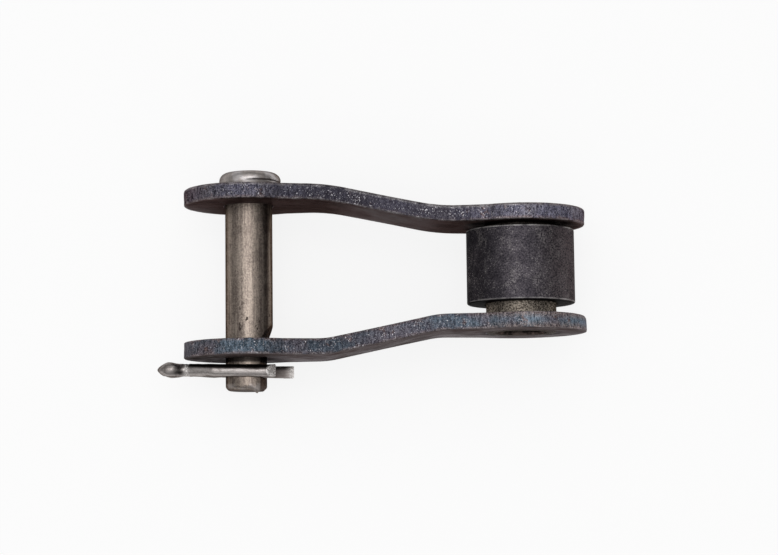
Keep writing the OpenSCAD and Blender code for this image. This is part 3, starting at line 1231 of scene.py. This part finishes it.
    def _bite(self, spots: np.ndarray, depth: float) -> np.ndarray:
        """Depth of shear lines, tears, dents and burr at a row of the edge.

        Args:
            spots: Points of the row before it is roughened.
            depth: Depth of the row below the outer face.

        Returns:
            How far each point goes in.
        """
        thick = self.link.thickness
        share = depth / thick
        broken = ramp(share, self.fracture_from, self.fracture_fade)
        broken *= ramp(thick - depth, 0.0, self.inner_roll)
        burnish = ramp(depth, 0.0, self.outer_roll)
        torn = self.tear_level + self.tear.at(spots, self.seed)
        torn += self.fine_tear.at(spots, self.seed)
        lines = self.lines.depth + self.lines.at(spots, self.seed)
        dents = self.dents.at(spots, self.seed) - self.dent_from * self.dents.depth
        bite = burnish * lines + broken * self.fracture_depth * np.maximum(torn, 0.0)
        bite += burnish * np.maximum(dents, 0.0)
        return bite + abs(2.0 * share - 1.0) ** 3 * self.burr.at(spots, self.seed)

    def _edge_rows(self, draft: Draft) -> list[Row]:
        """Adds the sheared edge.

        Args:
            draft: Mesh in the making.

        Returns:
            Vertices and flat places of the first and the last row.
        """
        loop, out = self.outline()
        thick, rows = self.link.thickness, []
        for depth, inset in self._profile():
            bite = self._bite(self._place(loop, depth), depth)
            worn = self.end_wear * ramp(loop[:, 0], self.end_wear_from, self.end_wear_fade)
            worn *= max(0.0, 1.0 - (thick - depth) / self.end_wear_depth) ** 2
            flat = loop - out * (inset + bite + worn)[:, None]
            from_outer = (depth - 0.5 * self.outer_roll) / (self.outer_wear * self.outer_roll)
            from_inner = (thick - depth) / (self.inner_wear * self.inner_roll)
            outer_rim = math.exp(-(from_outer**2))
            inner_rim = self.inner_wear_share * math.exp(-(from_inner**2))
            lip = abs(2.0 * depth / thick - 1.0)
            vertices = draft.add(self._place(flat, depth), max(outer_rim, inner_rim), lip)
            rows.append((vertices, flat))
        draft.bridge([vertices for vertices, _ in rows])
        return [rows[0], rows[-1]]

    def _hole_loop(self, shape: HoleShape, radius: float, flat: float) -> np.ndarray:
        """Points of a hole about its own middle.

        Args:
            shape: Round hole, or one with a flat towards +X.
            radius: Radius of its round part.
            flat: Distance of the flat from the middle.

        Returns:
            Points in X and Z, anticlockwise.
        """
        count = self.hole_steps
        if shape is HoleShape.ROUND:
            return polar(radius, full_turn(count))
        corner = math.acos(flat / radius)
        straight = count // self.flat_part
        arc = polar(radius, np.linspace(corner, FULL_TURN - corner, count - straight))
        reach = radius * math.sin(corner)
        cut = np.linspace(-reach, reach, straight + 2)[1:-1]
        return np.concatenate((arc, np.column_stack((np.full(straight, flat), cut))))

    def _hole_rows(self, draft: Draft, shape: HoleShape, x: float, radius: float) -> list[Row]:
        """Adds the wall of a hole with broken edges.

        Args:
            draft: Mesh in the making.
            shape: Shape of the hole.
            x: X of its middle.
            radius: Radius of its round part.

        Returns:
            Vertices and flat places of the first and the last row.
        """
        deep, edge = self.link.thickness, self.hole_edge
        near = self.edge_share * edge
        steps = ((0.0, edge), (near, near), (edge, 0.0))
        steps += ((0.5 * deep, 0.0),) + tuple((deep - depth, wide) for depth, wide in steps[::-1])
        rows = []
        for depth, wide in steps:
            flat = np.array((x, 0.0)) + self._hole_loop(shape, radius + wide, self.hole_flat + wide)
            rows.append((draft.add(self._place(flat, depth), wide / edge), flat))
        draft.bridge([vertices for vertices, _ in rows])
        return [rows[0], rows[-1]]

    def _loose_points(self, borders: list[Row]) -> np.ndarray:
        """Points in X and Z that fill a face between its edge and its holes.

        Args:
            borders: Vertices and flat places of the edge and of each hole.

        Returns:
            A ring along the edge, rings round the holes and a grid, closer at the bends.
        """
        loop, out = self.outline()
        reach = self.link.end_radius
        ring = borders[0][1] - out * self.wear_width
        core = loop - out * (self.wear_width + self.outer_roll + 0.5 * self.sheet_step)
        bends = (self.first_bend - self.link.pitch, -self.second_bend)
        columns, x = [], -self.link.pitch - reach
        while x < reach:
            columns.append(x)
            bent = min(abs(x - bend) for bend in bends) < self.bend_reach
            x += self.bend_step if bent else self.sheet_step
        levels = np.arange(-reach, reach, self.sheet_step)
        grid = np.array([(x, z) for x in columns for z in levels])
        grid = grid[inside(core, grid)]
        loose = [ring[:: self.ring_skip]]
        for _, hole in borders[1:]:
            middle = hole.mean(axis=0)
            grid = grid[~inside(middle + (hole - middle) * self.hole_clear, grid)]
            loose += [middle + (hole[::skip] - middle) * grown for grown, skip in self.hole_rings]
        return np.concatenate(loose + [grid])

    def _sheet(self, draft: Draft, borders: list[Row], depth: float) -> None:
        """Fills one face of the plate between its edge and its holes.

        Args:
            draft: Mesh in the making.
            borders: Vertices and flat places of the edge and of each hole.
            depth: Depth of the face below the outer face.
        """
        free = self._loose_points(borders)
        fresh = draft.add(self._place(free, depth))
        owners = np.concatenate([vertices for vertices, _ in borders] + [fresh])
        flat = np.concatenate([places for _, places in borders] + [free])
        links, start = [], 0
        for _, places in borders:
            count = len(places)
            links += [(start + i, start + (i + 1) % count) for i in range(count)]
            start += count
        made = delaunay_2d_cdt([Vector(place) for place in flat], links, [], 0, self.weld)
        spots, triangles, origins = made[0], made[2], made[3]
        middles = np.array([np.mean([spots[i] for i in three], axis=0) for three in triangles])
        kept = inside(borders[0][1], middles)
        for _, hole in borders[1:]:
            kept &= ~inside(hole, middles)
        for three, keep in zip(triangles, kept):
            if keep:
                draft.faces.append(tuple(int(owners[origins[i][0]]) for i in three))

    def build(self, finish: PlateFinish) -> bpy.types.Object:
        """Makes and dresses the plate.

        Args:
            finish: Finish of the plate steel.

        Returns:
            The finished piece.
        """
        link, draft = self.link, Draft()
        edge = self._edge_rows(draft)
        pin = self._hole_rows(draft, self.hole, -link.pitch, link.pin_radius + self.pin_gap)
        bush = self._hole_rows(draft, HoleShape.ROUND, 0.0, link.bush_radius + self.bush_seam)
        for borders, depth in zip(zip(edge, pin, bush), (0.0, link.thickness)):
            self._sheet(draft, list(borders), depth)
        piece = draft.finish(self.name, self.crease)
        settle(piece, self.node, Body.FRAME, finish)
        return piece


def turned_tube(
    draft: Draft,
    parts: Sequence[tuple[Any, float, float]],
    count: int,
    nick: Optional[Rough] = None,
    nick_bias: float = 0.1,
) -> None:
    """Adds a tube turned about Y.

    Args:
        draft: Mesh in the making.
        parts: Corners of its closed section by radius and Y, with their wear and dullness.
        count: Number of steps round.
        nick: Dents that the worn corners carry.
        nick_bias: Share of the depth of a dent that is added everywhere.
    """
    angles = full_turn(count)
    rings = []
    for corners, rim, dull in parts:
        for radius, level in corners:
            ring = polar(radius, angles)
            spots = np.column_stack((ring[:, 0], np.full(count, level), ring[:, 1]))
            if nick:
                bite = rim * np.maximum(0.0, nick.at(spots) + nick_bias * nick.depth)
                spots[:, (0, 2)] *= (1.0 - bite / radius)[:, None]
            rings.append(draft.add(spots, rim, dull))
    draft.bridge(rings + rings[:1])


def corner_arc(centre: Span, radius: float, first: float, last: float, steps: int) -> np.ndarray:
    """Points of a rounded corner.

    Args:
        centre: Radius and Y of the middle of the arc.
        radius: Radius of the arc.
        first: First angle in degrees.
        last: Last angle in degrees.
        steps: Number of points.

    Returns:
        Radius and Y of each point.
    """
    return np.array(centre) + polar(radius, np.radians(np.linspace(first, last, steps)))


@dataclass
class BushAndRoller:
    """The pressed bush and the roller that is free to turn on it."""

    link: LinkFrame
    roller_gap: float = 0.1
    roller_rim: float = 0.25
    rim_fade: float = 0.1
    mouth: float = 0.3
    bush_edge: float = 0.16
    edge_share: float = 0.3
    # Shares of wear and of dullness; on the roller the dullness is painted shade and the wear partly a
    # painted highlight
    roller_end: Span = (0.15, 1.0)
    roller_shoulder: Span = (0.4, 0.6)
    roller_corner: Span = (1.0, 0.0)
    roller_bore: Span = (0.2, 1.0)
    bush_end: Span = (0.25, 1.0)
    bush_corner: Span = (0.9, 0.8)
    bush_bore: Span = (0.5, 1.0)
    clean: Span = (0.0, 0.0)
    # Fineness of the meshes
    row_step: float = 0.55
    corner_rows: int = 4
    shoulder_rows: int = 3
    count: int = 192
    nick: Rough = Rough(0.06, 0.9, 3.0)
    crease: float = 38.0

    def build_roller(self, finish: RollerFinish) -> bpy.types.Object:
        """Makes and dresses the roller.

        Args:
            finish: Finish of the roller steel.

        Returns:
            The finished piece.
        """
        rim, mouth = self.roller_rim, self.mouth
        bore, wide = self.link.bush_radius + self.roller_gap, self.link.roller_radius
        low, high = self.link.roller_low, self.link.roller_high
        low_corner, high_corner = (wide - rim, low + rim), (wide - rim, high - rim)
        first, last, step = low + rim, high - rim, self.row_step
        rows = (
            first + self.rim_fade,
            *np.arange(first + step, last - 0.5 * step, step),
            last - self.rim_fade,
        )
        inside_levels = (high - mouth, 0.5 * (low + high), low + mouth)
        parts = [
            ([(bore + mouth, low), (wide - 2.0 * rim, low)], *self.roller_end),
            (corner_arc(low_corner, rim, -90.0, -60.0, self.shoulder_rows), *self.roller_shoulder),
            (corner_arc(low_corner, rim, -40.0, 0.0, self.corner_rows), *self.roller_corner),
            ([(wide, row) for row in rows], *self.clean),
            (corner_arc(high_corner, rim, 0.0, 40.0, self.corner_rows), *self.roller_corner),
            (corner_arc(high_corner, rim, 60.0, 90.0, self.shoulder_rows), *self.roller_shoulder),
            ([(wide - 2.0 * rim, high), (bore + mouth, high)], *self.roller_end),
            ([(bore, level) for level in inside_levels], *self.roller_bore),
        ]
        draft = Draft()
        turned_tube(draft, parts, self.count, self.nick)
        piece = draft.finish("roller_turned", self.crease)
        settle(piece, "roller", Body.ROLLER, finish)
        return piece

    def build_bush(self, finish: BushFinish) -> bpy.types.Object:
        """Makes and dresses the bush.

        Args:
            finish: Finish of the bush steel.

        Returns:
            The finished piece.
        """
        edge, mouth = self.bush_edge, self.mouth
        wide, half, bore = self.link.bush_radius, self.link.bush_half, self.link.bore_radius
        near = self.edge_share * edge
        corner, ends = ((edge, 0.0), (near, near), (0.0, edge)), (bore + mouth, 0.5 * (bore + wide))
        rows = np.arange(-half + edge + self.row_step, half - edge, self.row_step)
        parts = [
            ([(radius, -half) for radius in ends], *self.bush_end),
            ([(wide - inset, rise - half) for inset, rise in corner], *self.bush_corner),
            ([(wide, row) for row in rows], *self.clean),
            ([(wide - inset, half - rise) for inset, rise in corner[::-1]], *self.bush_corner),
            ([(radius, half) for radius in ends[::-1]], *self.bush_end),
            ([(bore, level) for level in (half - mouth, 0.0, mouth - half)], *self.bush_bore),
        ]
        draft = Draft()
        turned_tube(draft, parts, self.count)
        piece = draft.finish("bush_pressed", self.crease)
        settle(piece, "bush", Body.FRAME, finish)
        return piece


@dataclass
class PinAndCotter:
    """The headed pin with its locking flat, and the split cotter through its end."""

    link: LinkFrame
    turn: float = 8.0
    # Head, tail, flat and cross hole of the pin
    head_dome: float = 60.0
    head_round: float = 1.2
    head_foot: float = 0.2
    head_shift: float = 0.22
    head_upset: Rough = Rough(0.07, 0.35, 21.0)
    upset_from: float = 0.25
    upset_reach: float = 0.6
    crease_height: float = 1.12
    crease_depth: float = 0.12
    crease_lip: float = 2.0
    crease_shape: tuple[Span, ...] = ((0.5, -0.7), (1.0, 0.0), (0.5, 0.7))
    crease_end: float = -0.15
    crease_fade: float = 0.5
    tail_round: float = 0.8
    burr: float = 0.66
    burr_width: float = 0.24
    burr_from: float = 0.55
    burr_fade: float = 0.2
    flat_depth: float = 1.4
    flat_length: float = 7.4
    flat_ramp: float = 2.6
    flat_bevel: float = 0.6
    hole_radius: float = 1.2
    hole_setback: float = 2.9
    tail_face_wear: float = 0.1
    tail_wear: float = 0.8
    foot_wear: float = 0.5
    lip_wear: float = 0.2
    shoulder_wear: float = 0.6
    cap_wear: float = 0.15
    # Legs, eye and crimp of the cotter, along its own length from the pin axis
    wire_radius: float = 0.95
    wire_corner: float = 0.09
    corner_run: float = 1.6
    corner_rise: float = 0.55
    corner_side: float = 0.45
    wire_dent: Rough = Rough(0.11, 0.8, 31.0)
    long_leg_level: float = 0.3
    short_leg_gap: float = 0.08
    long_leg_end: float = 6.95
    short_leg_end: float = 4.75
    leg_bevel: float = 1.2
    bevel_run: float = 1.25
    leg_slope: float = 22.0
    lean: float = 1.7
    tip_back: float = 0.07
    tip_size: float = 0.90
    neck_radius: float = 2.0
    neck_gap: float = 0.03
    eye_reach: float = 11.7
    eye_radius: float = 1.1
    eye_swell: float = 0.12
    eye_swell_from: float = 9.6
    eye_swell_fade: float = 1.4
    eye_point: float = 0.55
    eye_point_from: float = 11.9
    eye_point_fade: float = 1.8
    eye_point_power: float = 1.5
    crimp: Rough = Rough(0.22, 2.2, 37.0)
    crimp_place: float = -9.0
    crimp_width: float = 0.75
    wire_wear: float = 0.25
    crimp_wear: float = 0.6
    tip_wear: float = 0.6
    # Painted shade on the side towards the plate and behind the eye
    painted_shade_from: float = 0.22
    painted_shade_fade: float = 0.3
    painted_shade_end: float = -10.5
    painted_shade_end_fade: float = 1.5
    pocket_side: float = 0.33
    pocket_width: float = 0.32
    pocket_reach: float = 1.4
    # Fineness of the meshes
    round_steps: int = 150
    flat_steps: int = 46
    eye_steps: int = 46
    drill_steps: int = 64
    tail_shares: tuple[float, ...] = (0.2, 0.5, 0.8)
    flat_step: float = 0.3
    shank_step: float = 0.6
    ramp_rows: int = 24
    round_rows: int = 8
    foot_rows: int = 4
    cap_rows: int = 10
    arc_corners: int = 17
    flat_corners: int = 6
    leg_stations: int = 14
    bend_stations: int = 7
    slope_stations: int = 6
    pin_crease: float = 24.0
    wire_crease: float = 40.0

    def _turned(self, points: np.ndarray) -> np.ndarray:
        """Points about the pin axis, turned with the pin and put in their place."""
        spin = Matrix.Rotation(math.radians(-self.turn), 3, "Y")
        return points @ np.array(spin).T + np.array((-self.link.pitch, 0.0, 0.0))

    def _pin_parts(self) -> list[tuple[Any, float]]:
        """Radius and Y of the rings of the pin from its tail to its head, with their edge wear."""
        link, tail, bend, foot = self.link, self.tail_round, self.head_round, self.head_foot
        low, high, face, radius = link.pin_low, link.pin_high, link.outer_face, link.pin_radius
        top = low + self.flat_length
        ramp_top = top + self.flat_ramp
        wide, dome = link.head_radius, self.head_dome
        reach = wide - bend
        shoulder = high - dome + math.sqrt((dome - bend) ** 2 - reach**2)
        lean = math.degrees(math.asin(reach / (dome - bend)))
        notch, crease, rows = face + self.crease_height, self.crease_depth, self.round_rows
        cap = np.radians(lean) * np.linspace(1.0, 1.0 / self.cap_rows, self.cap_rows)
        levels = (
            *np.arange(low + tail + self.flat_step, top, self.flat_step),
            *np.linspace(top, ramp_top, self.ramp_rows),
            *np.arange(ramp_top + self.shank_step, face - 0.5 * self.shank_step, self.shank_step),
        )
        return [
            ([(share * (radius - tail), low) for share in self.tail_shares], self.tail_face_wear),
            (corner_arc((radius - tail, low + tail), tail, -90.0, 0.0, rows), self.tail_wear),
            ([(radius, level) for level in levels], 0.0),
            ([(radius, face), (wide - foot, face)], 0.0),
            (corner_arc((wide - foot, face + foot), foot, -60.0, 0.0, self.foot_rows), self.foot_wear),
            ([(wide, notch - self.crease_lip * crease)], self.lip_wear),
            ([(wide - inset * crease, notch + rise * crease) for inset, rise in self.crease_shape], 0.0),
            (corner_arc((reach, shoulder), bend, 0.0, 90.0 - lean, rows), self.shoulder_wear),
            (np.column_stack((dome * np.sin(cap), high - dome * (1.0 - np.cos(cap)))), self.cap_wear),
        ]

    def _milled(self, points: np.ndarray) -> np.ndarray:
        """Points of the pin after the locking flat and its run-out are cut."""
        level = self.link.pin_radius - self.flat_depth
        past = points[:, 1] - (self.link.pin_low + self.flat_length)
        short = self.link.pin_low + self.flat_bevel - points[:, 1]
        limit = level + np.maximum(past, 0.0) * self.flat_depth / self.flat_ramp
        limit -= np.maximum(short, 0.0)
        cut = np.minimum(points[:, 0], limit)
        points[:, 0] = np.where(past < self.flat_ramp, cut, points[:, 0])
        return points

    def _drill(self, piece: bpy.types.Object) -> None:
        """Cuts the cross hole for the cotter through the pin."""
        draft = Draft()
        ring = polar(self.hole_radius, full_turn(self.drill_steps))
        level = self.link.pin_low + self.hole_setback
        ends = []
        for x in (-2.0 * self.link.pin_radius, 2.0 * self.link.pin_radius):
            spots = np.column_stack((np.full(len(ring), x), ring[:, 0] + level, ring[:, 1]))
            ends.append((draft.add(self._turned(spots)), np.array(((x, level, 0.0),))))
        draft.bridge([vertices for vertices, _ in ends])
        for vertices, middle in ends:
            draft.fan(vertices, self._turned(middle))
        drill = draft.finish("drill", self.pin_crease)
        cut = piece.modifiers.new("cross_hole", "BOOLEAN")
        cut.operation, cut.solver, cut.object = "DIFFERENCE", "EXACT", drill
        bpy.context.view_layer.update()
        evaluated = piece.evaluated_get(bpy.context.evaluated_depsgraph_get())
        shape = bpy.data.meshes.new_from_object(evaluated)
        piece.modifiers.clear()
        piece.data = shape
        smooth(shape, self.pin_crease)
        bpy.data.objects.remove(drill)

    def _pin_ring(self, radius: float, level: float, angles: np.ndarray) -> np.ndarray:
        """Points of one ring of the pin, with the unevenness of its head.

        Args:
            radius: Radius of the ring.
            level: Y of the ring.
            angles: Angle of each point about the pin axis.

        Returns:
            Points about the pin axis, before the pin is milled and turned.
        """
        link = self.link
        ring = polar(radius, angles)
        spots = np.column_stack((ring[:, 0], np.full(len(ring), level), ring[:, 1]))
        if abs(level - link.outer_face - self.crease_height) < self.crease_depth:
            closed = 1.0 - ramp(ring[:, 0] / radius, self.crease_end, self.crease_fade)
            spots[:, (0, 2)] *= (1.0 + closed * (link.head_radius / radius - 1.0))[:, None]
        upset = self.head_upset.at(spots) + self.upset_from * self.head_upset.depth
        bite = ramp(radius, link.pin_radius, self.upset_reach) * np.maximum(0.0, upset)
        spots[:, (0, 2)] *= (1.0 - bite / radius)[:, None]
        if level > link.outer_face:
            spots[:, 0] += self.head_shift
        return spots

    def build_pin(self, finish: PinFinish) -> bpy.types.Object:
        """Makes and dresses the pin.

        Args:
            finish: Finish of the pin steel.

        Returns:
            The finished piece.
        """
        link, draft, rings = self.link, Draft(), []
        corner = math.acos((link.pin_radius - self.flat_depth) / link.pin_radius)
        angles = np.concatenate((
            np.linspace(-corner, corner, self.flat_steps, endpoint=False),
            np.linspace(corner, FULL_TURN - corner, self.round_steps, endpoint=False),
        ))
        for rows, rim in self._pin_parts():
            for radius, level in rows:
                spots = self._milled(self._pin_ring(radius, level, angles))
                share = radius / link.pin_radius
                near = np.exp(-(((angles - corner) / self.burr_width) ** 2))
                near *= level < link.pin_low + self.tail_round
                near *= ramp(share, self.burr_from, self.burr_fade)
                spots[:, 1] -= self.burr * near * share
                rings.append(draft.add(self._turned(spots), np.maximum(rim, near)))
        draft.bridge(rings)
        draft.fan(rings[0], self._turned(np.array(((0.0, link.pin_low, 0.0),))))
        draft.fan(rings[-1], self._turned(np.array(((self.head_shift, link.pin_high, 0.0),))))
        piece = draft.finish("pin_headed", self.pin_crease)
        self._drill(piece)
        settle(piece, "connecting_pin", Body.PIN, finish)
        return piece

    def _wire_section(self) -> np.ndarray:
        """Height above the flat and width of each corner of the half-round wire."""
        corner, radius = self.wire_corner, self.wire_radius
        turn = self.corner_run * math.asin(corner / radius)
        arc = polar(radius, np.linspace(turn, math.pi - turn, self.arc_corners))
        half = radius - self.corner_run * corner
        flat = np.linspace(-half, half, self.flat_corners)
        rise, blunt = self.corner_rise * corner, radius - self.corner_side * corner
        return np.concatenate((
            np.column_stack((arc[:, 1], arc[:, 0])),
            ((rise, -blunt),),
            np.column_stack((np.zeros(len(flat)), flat)),
            ((rise, blunt),),
        ))

    def _leg(self, leg_end: float, spread: float, up: float) -> list[Station]:
        """Stations along one leg from its bevelled end to the eye.

        Args:
            leg_end: X of the end of the leg.
            spread: Distance of the leg's flat from the middle line.
            up: 1 for the short leg in front, -1 for the long leg behind.

        Returns:
            X and height of the flat, and the direction of the round side, at each station.
        """
        lean, bend = math.radians(self.leg_slope), self.neck_radius
        sine, cosine = math.sin(lean), math.cos(lean)
        neck_level = self.neck_gap + bend
        reach = math.sqrt((self.eye_radius + bend) ** 2 - neck_level**2)
        neck_angle = math.atan2(neck_level, reach)
        neck_place = reach - self.eye_reach
        length = (spread - self.neck_gap - 2.0 * bend * (1.0 - cosine)) / sine
        start = (neck_place + bend * sine, neck_level - bend * cosine)
        leg_start = start[0] + length * cosine + bend * sine
        straight = np.linspace(leg_end, leg_start, self.leg_stations)[1:]
        straight[0] = leg_end - self.bevel_run * self.leg_bevel
        stations = [(x, spread, 0.0, 1.0) for x in straight]
        for angle in np.linspace(0.0, lean, self.bend_stations)[1:]:
            way = (-math.sin(angle), math.cos(angle))
            stations.append((leg_start + bend * way[0], spread - bend + bend * way[1], *way))
        for share in np.linspace(1.0, 0.0, self.slope_stations)[1:]:
            x, height = start[0] + share * length * cosine, start[1] + share * length * sine
            stations.append((x, height, -sine, cosine))
        neck = np.linspace(1.5 * math.pi + lean, math.pi + neck_angle, self.leg_stations)
        for angle in neck[1:]:
            way = (-math.cos(angle), -math.sin(angle))
            stations.append((neck_place - bend * way[0], neck_level - bend * way[1], *way))
        return [(x, up * height, across, up * rise) for x, height, across, rise in stations]

    def _crimped(self, station: Station) -> float:
        """Share of the crimp behind the eye at a station of the short leg."""
        away = (station[0] - self.crimp_place) / self.crimp_width
        return math.exp(-(away**2)) if station[3] > 0.0 else 0.0

    def _wire_ring(self, station: Station, shape: np.ndarray, skew: float = 0.0) -> np.ndarray:
        """Corners of the wire at a station.

        Args:
            station: X and height of the flat, and the direction of the round side.
            shape: Height and width of each corner of the wire.
            skew: Slant of the ring along X for each millimetre of height.

        Returns:
            The corners in their place on the link.
        """
        x, height, across, up = station
        middle = 0.5 * (self.link.pin_radius + self.short_leg_gap + self.long_leg_level)
        along = x + across * shape[:, 0] - skew * shape[:, 0]
        above = height + up * shape[:, 0] + middle
        swell = self.eye_swell * ramp(-x, self.eye_swell_from, self.eye_swell_fade)
        point = ramp(-along, self.eye_point_from, self.eye_point_fade) ** self.eye_point_power
        aside = -shape[:, 1] * (1.0 + swell) * (1.0 - self.eye_point * point)
        lean = math.radians(self.lean)
        forward = along * math.cos(lean) + aside * math.sin(lean)
        sideways = aside * math.cos(lean) - along * math.sin(lean)
        level = self.link.pin_low + self.hole_setback
        spots = self._turned(np.column_stack((forward, level + sideways, above)))
        dent = self.wire_dent.at(spots) + self._crimped(station) * self.crimp.at(spots)
        return spots + (spots - spots.mean(axis=0)) * dent[:, None]

    def _wire_painted_shade(self, station: Station, section: np.ndarray) -> np.ndarray:
        """Share of painted shade at each corner of the wire at a station."""
        behind = station[0] - self.painted_shade_end
        soot = ramp(-section[:, 1] / self.wire_radius, self.painted_shade_from, self.painted_shade_fade)
        soot *= ramp(behind, 0.0, self.painted_shade_end_fade)
        aside = (section[:, 1] - self.pocket_side) / self.pocket_width
        pocket = np.clip(self.pocket_reach - np.hypot(behind, aside), 0.0, 1.0)
        return np.maximum(soot, pocket * (station[3] > 0.0))

    def build_cotter(self, finish: CotterFinish) -> bpy.types.Object:
        """Makes and dresses the split cotter.

        Args:
            finish: Finish of the cotter wire.

        Returns:
            The finished piece.
        """
        spread = 0.5 * (self.link.pin_radius + self.short_leg_gap - self.long_leg_level)
        short = self._leg(self.short_leg_end, spread, 1.0)
        long = self._leg(self.long_leg_end, spread, -1.0)
        first = math.atan2(short[-1][3], short[-1][2])
        eye = []
        for angle in np.linspace(first, FULL_TURN - first, self.eye_steps)[1:-1]:
            way = (math.cos(angle), math.sin(angle))
            eye.append((self.eye_radius * way[0] - self.eye_reach, self.eye_radius * way[1], *way))
        section = self._wire_section()
        heart = section.mean(axis=0)
        small = heart + (section - heart) * self.tip_size
        slant = self.leg_bevel / self.wire_radius
        tips = ((self.short_leg_end, spread, 0.0, 1.0), (self.long_leg_end, -spread, 0.0, -1.0))
        backs = [(tip[0] - self.tip_back, *tip[1:]) for tip in tips]
        draft = Draft()
        rings = [
            draft.add(self._wire_ring(tips[0], small, slant), 1.0),
            draft.add(self._wire_ring(backs[0], section, slant), 1.0),
        ]
        for station in short + eye + long[::-1]:
            ring, flat = self._wire_ring(station, section), section[:, 0] == 0.0
            wear = self.wire_wear + self.crimp_wear * self._crimped(station)
            rings.append(draft.add(ring, wear, flat, self._wire_painted_shade(station, section)))
        rings.append(draft.add(self._wire_ring(backs[1], section, slant), 1.0))
        rings.append(draft.add(self._wire_ring(tips[1], small, slant), 1.0))
        draft.bridge(rings)
        for end, tip in ((rings[0], tips[0]), (rings[-1], tips[1])):
            draft.fan(end, self._wire_ring(tip, heart[None, :], slant), self.tip_wear)
        piece = draft.finish("cotter_split", self.wire_crease)
        settle(piece, "split_cotter", Body.COTTER, finish)
        return piece


@dataclass
class Studio:
    """Pale floor, soft overhead light and the camera of the photograph."""

    floor_level: float
    floor_size: float = 6.0
    floor_parts: int = 4
    zenith: float = 1.0
    horizon: float = 0.17
    far_dim: float = 0.4
    sky_span: Span = (0.0, 0.9)
    lamp_power: float = 1.0
    lamp_size: float = 0.44
    lamp_place: Place = (-0.06, 0.03, 0.62)
    eye: Place = (-0.02478, -0.03853, 0.33880)
    aim: Place = (-0.02008, -0.00066, 0.0)
    upward: Place = (0.01000, 0.99386, 0.11021)
    lens: float = 103.5
    nearest: float = 0.005

    def build_floor(self, finish: FloorFinish) -> None:
        """Lays the floor under the link.

        Args:
            finish: Finish of the floor.
        """
        shape = bmesh.new()
        parts = self.floor_parts
        bmesh.ops.create_grid(shape, x_segments=parts, y_segments=parts, size=self.floor_size)
        mesh = bpy.data.meshes.new("floor")
        shape.to_mesh(mesh)
        shape.free()
        floor = bpy.data.objects.new("floor", mesh)
        floor.location.z = self.floor_level
        bpy.context.scene.collection.objects.link(floor)
        mesh.materials.append(finish.build())

    def build_light(self) -> None:
        """Hangs the soft lamp and fills the room with light that falls off to the horizon."""
        lamp = bpy.data.lights.new("soft_lamp", "AREA")
        lamp.shape, lamp.size, lamp.energy = "DISK", self.lamp_size, self.lamp_power
        hung = bpy.data.objects.new("soft_lamp", lamp)
        hung.location = self.lamp_place
        hung.rotation_euler = (-Vector(self.lamp_place)).to_track_quat("-Z", "Y").to_euler()
        bpy.context.scene.collection.objects.link(hung)
        world = bpy.data.worlds.new("room")
        bpy.context.scene.world = world
        world.use_nodes = True
        board = Board(world.node_tree)
        way = board.node("ShaderNodeTexCoord", output="Generated")
        height, aside = board.part(way, "Z"), board.part(way, "X")
        strength = self.horizon + height.step(self.sky_span) * (self.zenith - self.horizon)
        strength = strength * (1.0 - aside.step(self.sky_span) * self.far_dim)
        light = {"Color": (1.0, 1.0, 1.0, 1.0), "Strength": strength}
        sky = board.node("ShaderNodeBackground", {}, light)
        board.node("ShaderNodeOutputWorld", {}, {"Surface": sky})

    def build_camera(self) -> None:
        """Sets the camera where the photograph was taken."""
        lens = bpy.data.cameras.new("camera")
        lens.lens = self.lens
        lens.clip_start = self.nearest
        away = (Vector(self.eye) - Vector(self.aim)).normalized()
        right = Vector(self.upward).cross(away).normalized()
        turned = Matrix((right, away.cross(right), away)).transposed().to_4x4()
        camera = bpy.data.objects.new("camera", lens)
        camera.matrix_world = Matrix.Translation(self.eye) @ turned
        bpy.context.scene.collection.objects.link(camera)
        bpy.context.scene.camera = camera


def main() -> None:
    """Builds and dresses the link, then the studio round it."""
    logging.basicConfig(level=logging.INFO, format="%(message)s")
    bpy.context.scene.view_settings.view_transform = "Standard"
    link = LinkFrame.read()
    head_plate = CrankedPlate(
        link,
        "head_plate_cranked",
        "head_side_plate",
        side=1.0,
        hole=HoleShape.ROUND,
        seed=2.0,
        bend_radius=30.0,
    )
    # Painted shade: the default dark reddish sheen makes this plate a shaded copy of the cotter plate's
    # steel; its inner face also carries painted light.
    head_finish = PlateFinish(
        "head_plate_finish", inner_side=-1.0, pitch=link.pitch, painted_light_share=0.85
    )
    cotter_plate = CrankedPlate(
        link,
        "cotter_plate_cranked",
        "cotter_side_plate",
        side=-1.0,
        hole=HoleShape.FLATTED,
        seed=7.0,
        outer_roll=0.2,
        inner_roll=0.14,
        end_wear=0.4,
    )
    # Painted light: the bright sheen makes this plate a lit copy of the same steel; it also carries
    # painted shade towards +Z and below the cotter.
    cotter_plate_finish = PlateFinish(
        "cotter_plate_finish",
        inner_side=1.0,
        pitch=link.pitch,
        tint_dark=(0.020, 0.030, 0.040),
        tint_light=(0.138, 0.180, 0.226),
        tint_share=0.95,
        waist_dim=0.38,
        sheen=(0.58, 0.535, 0.55),
        face_gloss=0.5,
        top_painted_shade=0.9,
        end_scale=0.85,
        pin_oil_and_shade=0.8,
        burr_share=0.25,
    )
    turned, lock = BushAndRoller(link), PinAndCotter(link)
    pieces = [
        head_plate.build(head_finish),
        cotter_plate.build(cotter_plate_finish),
        turned.build_bush(BushFinish("bush_finish")),
        turned.build_roller(RollerFinish("roller_finish")),
        lock.build_pin(PinFinish("pin_finish", axis=-link.pitch)),
        lock.build_cotter(CotterFinish("cotter_finish")),
    ]
    for piece in pieces:
        log.info("%s is made, with %d faces", piece.name, len(piece.data.polygons))
    studio = Studio(floor_level=CAD_BOX[0][2])
    studio.build_floor(FloorFinish("floor_finish"))
    studio.build_light()
    studio.build_camera()


if __name__ == "__main__":
    main()
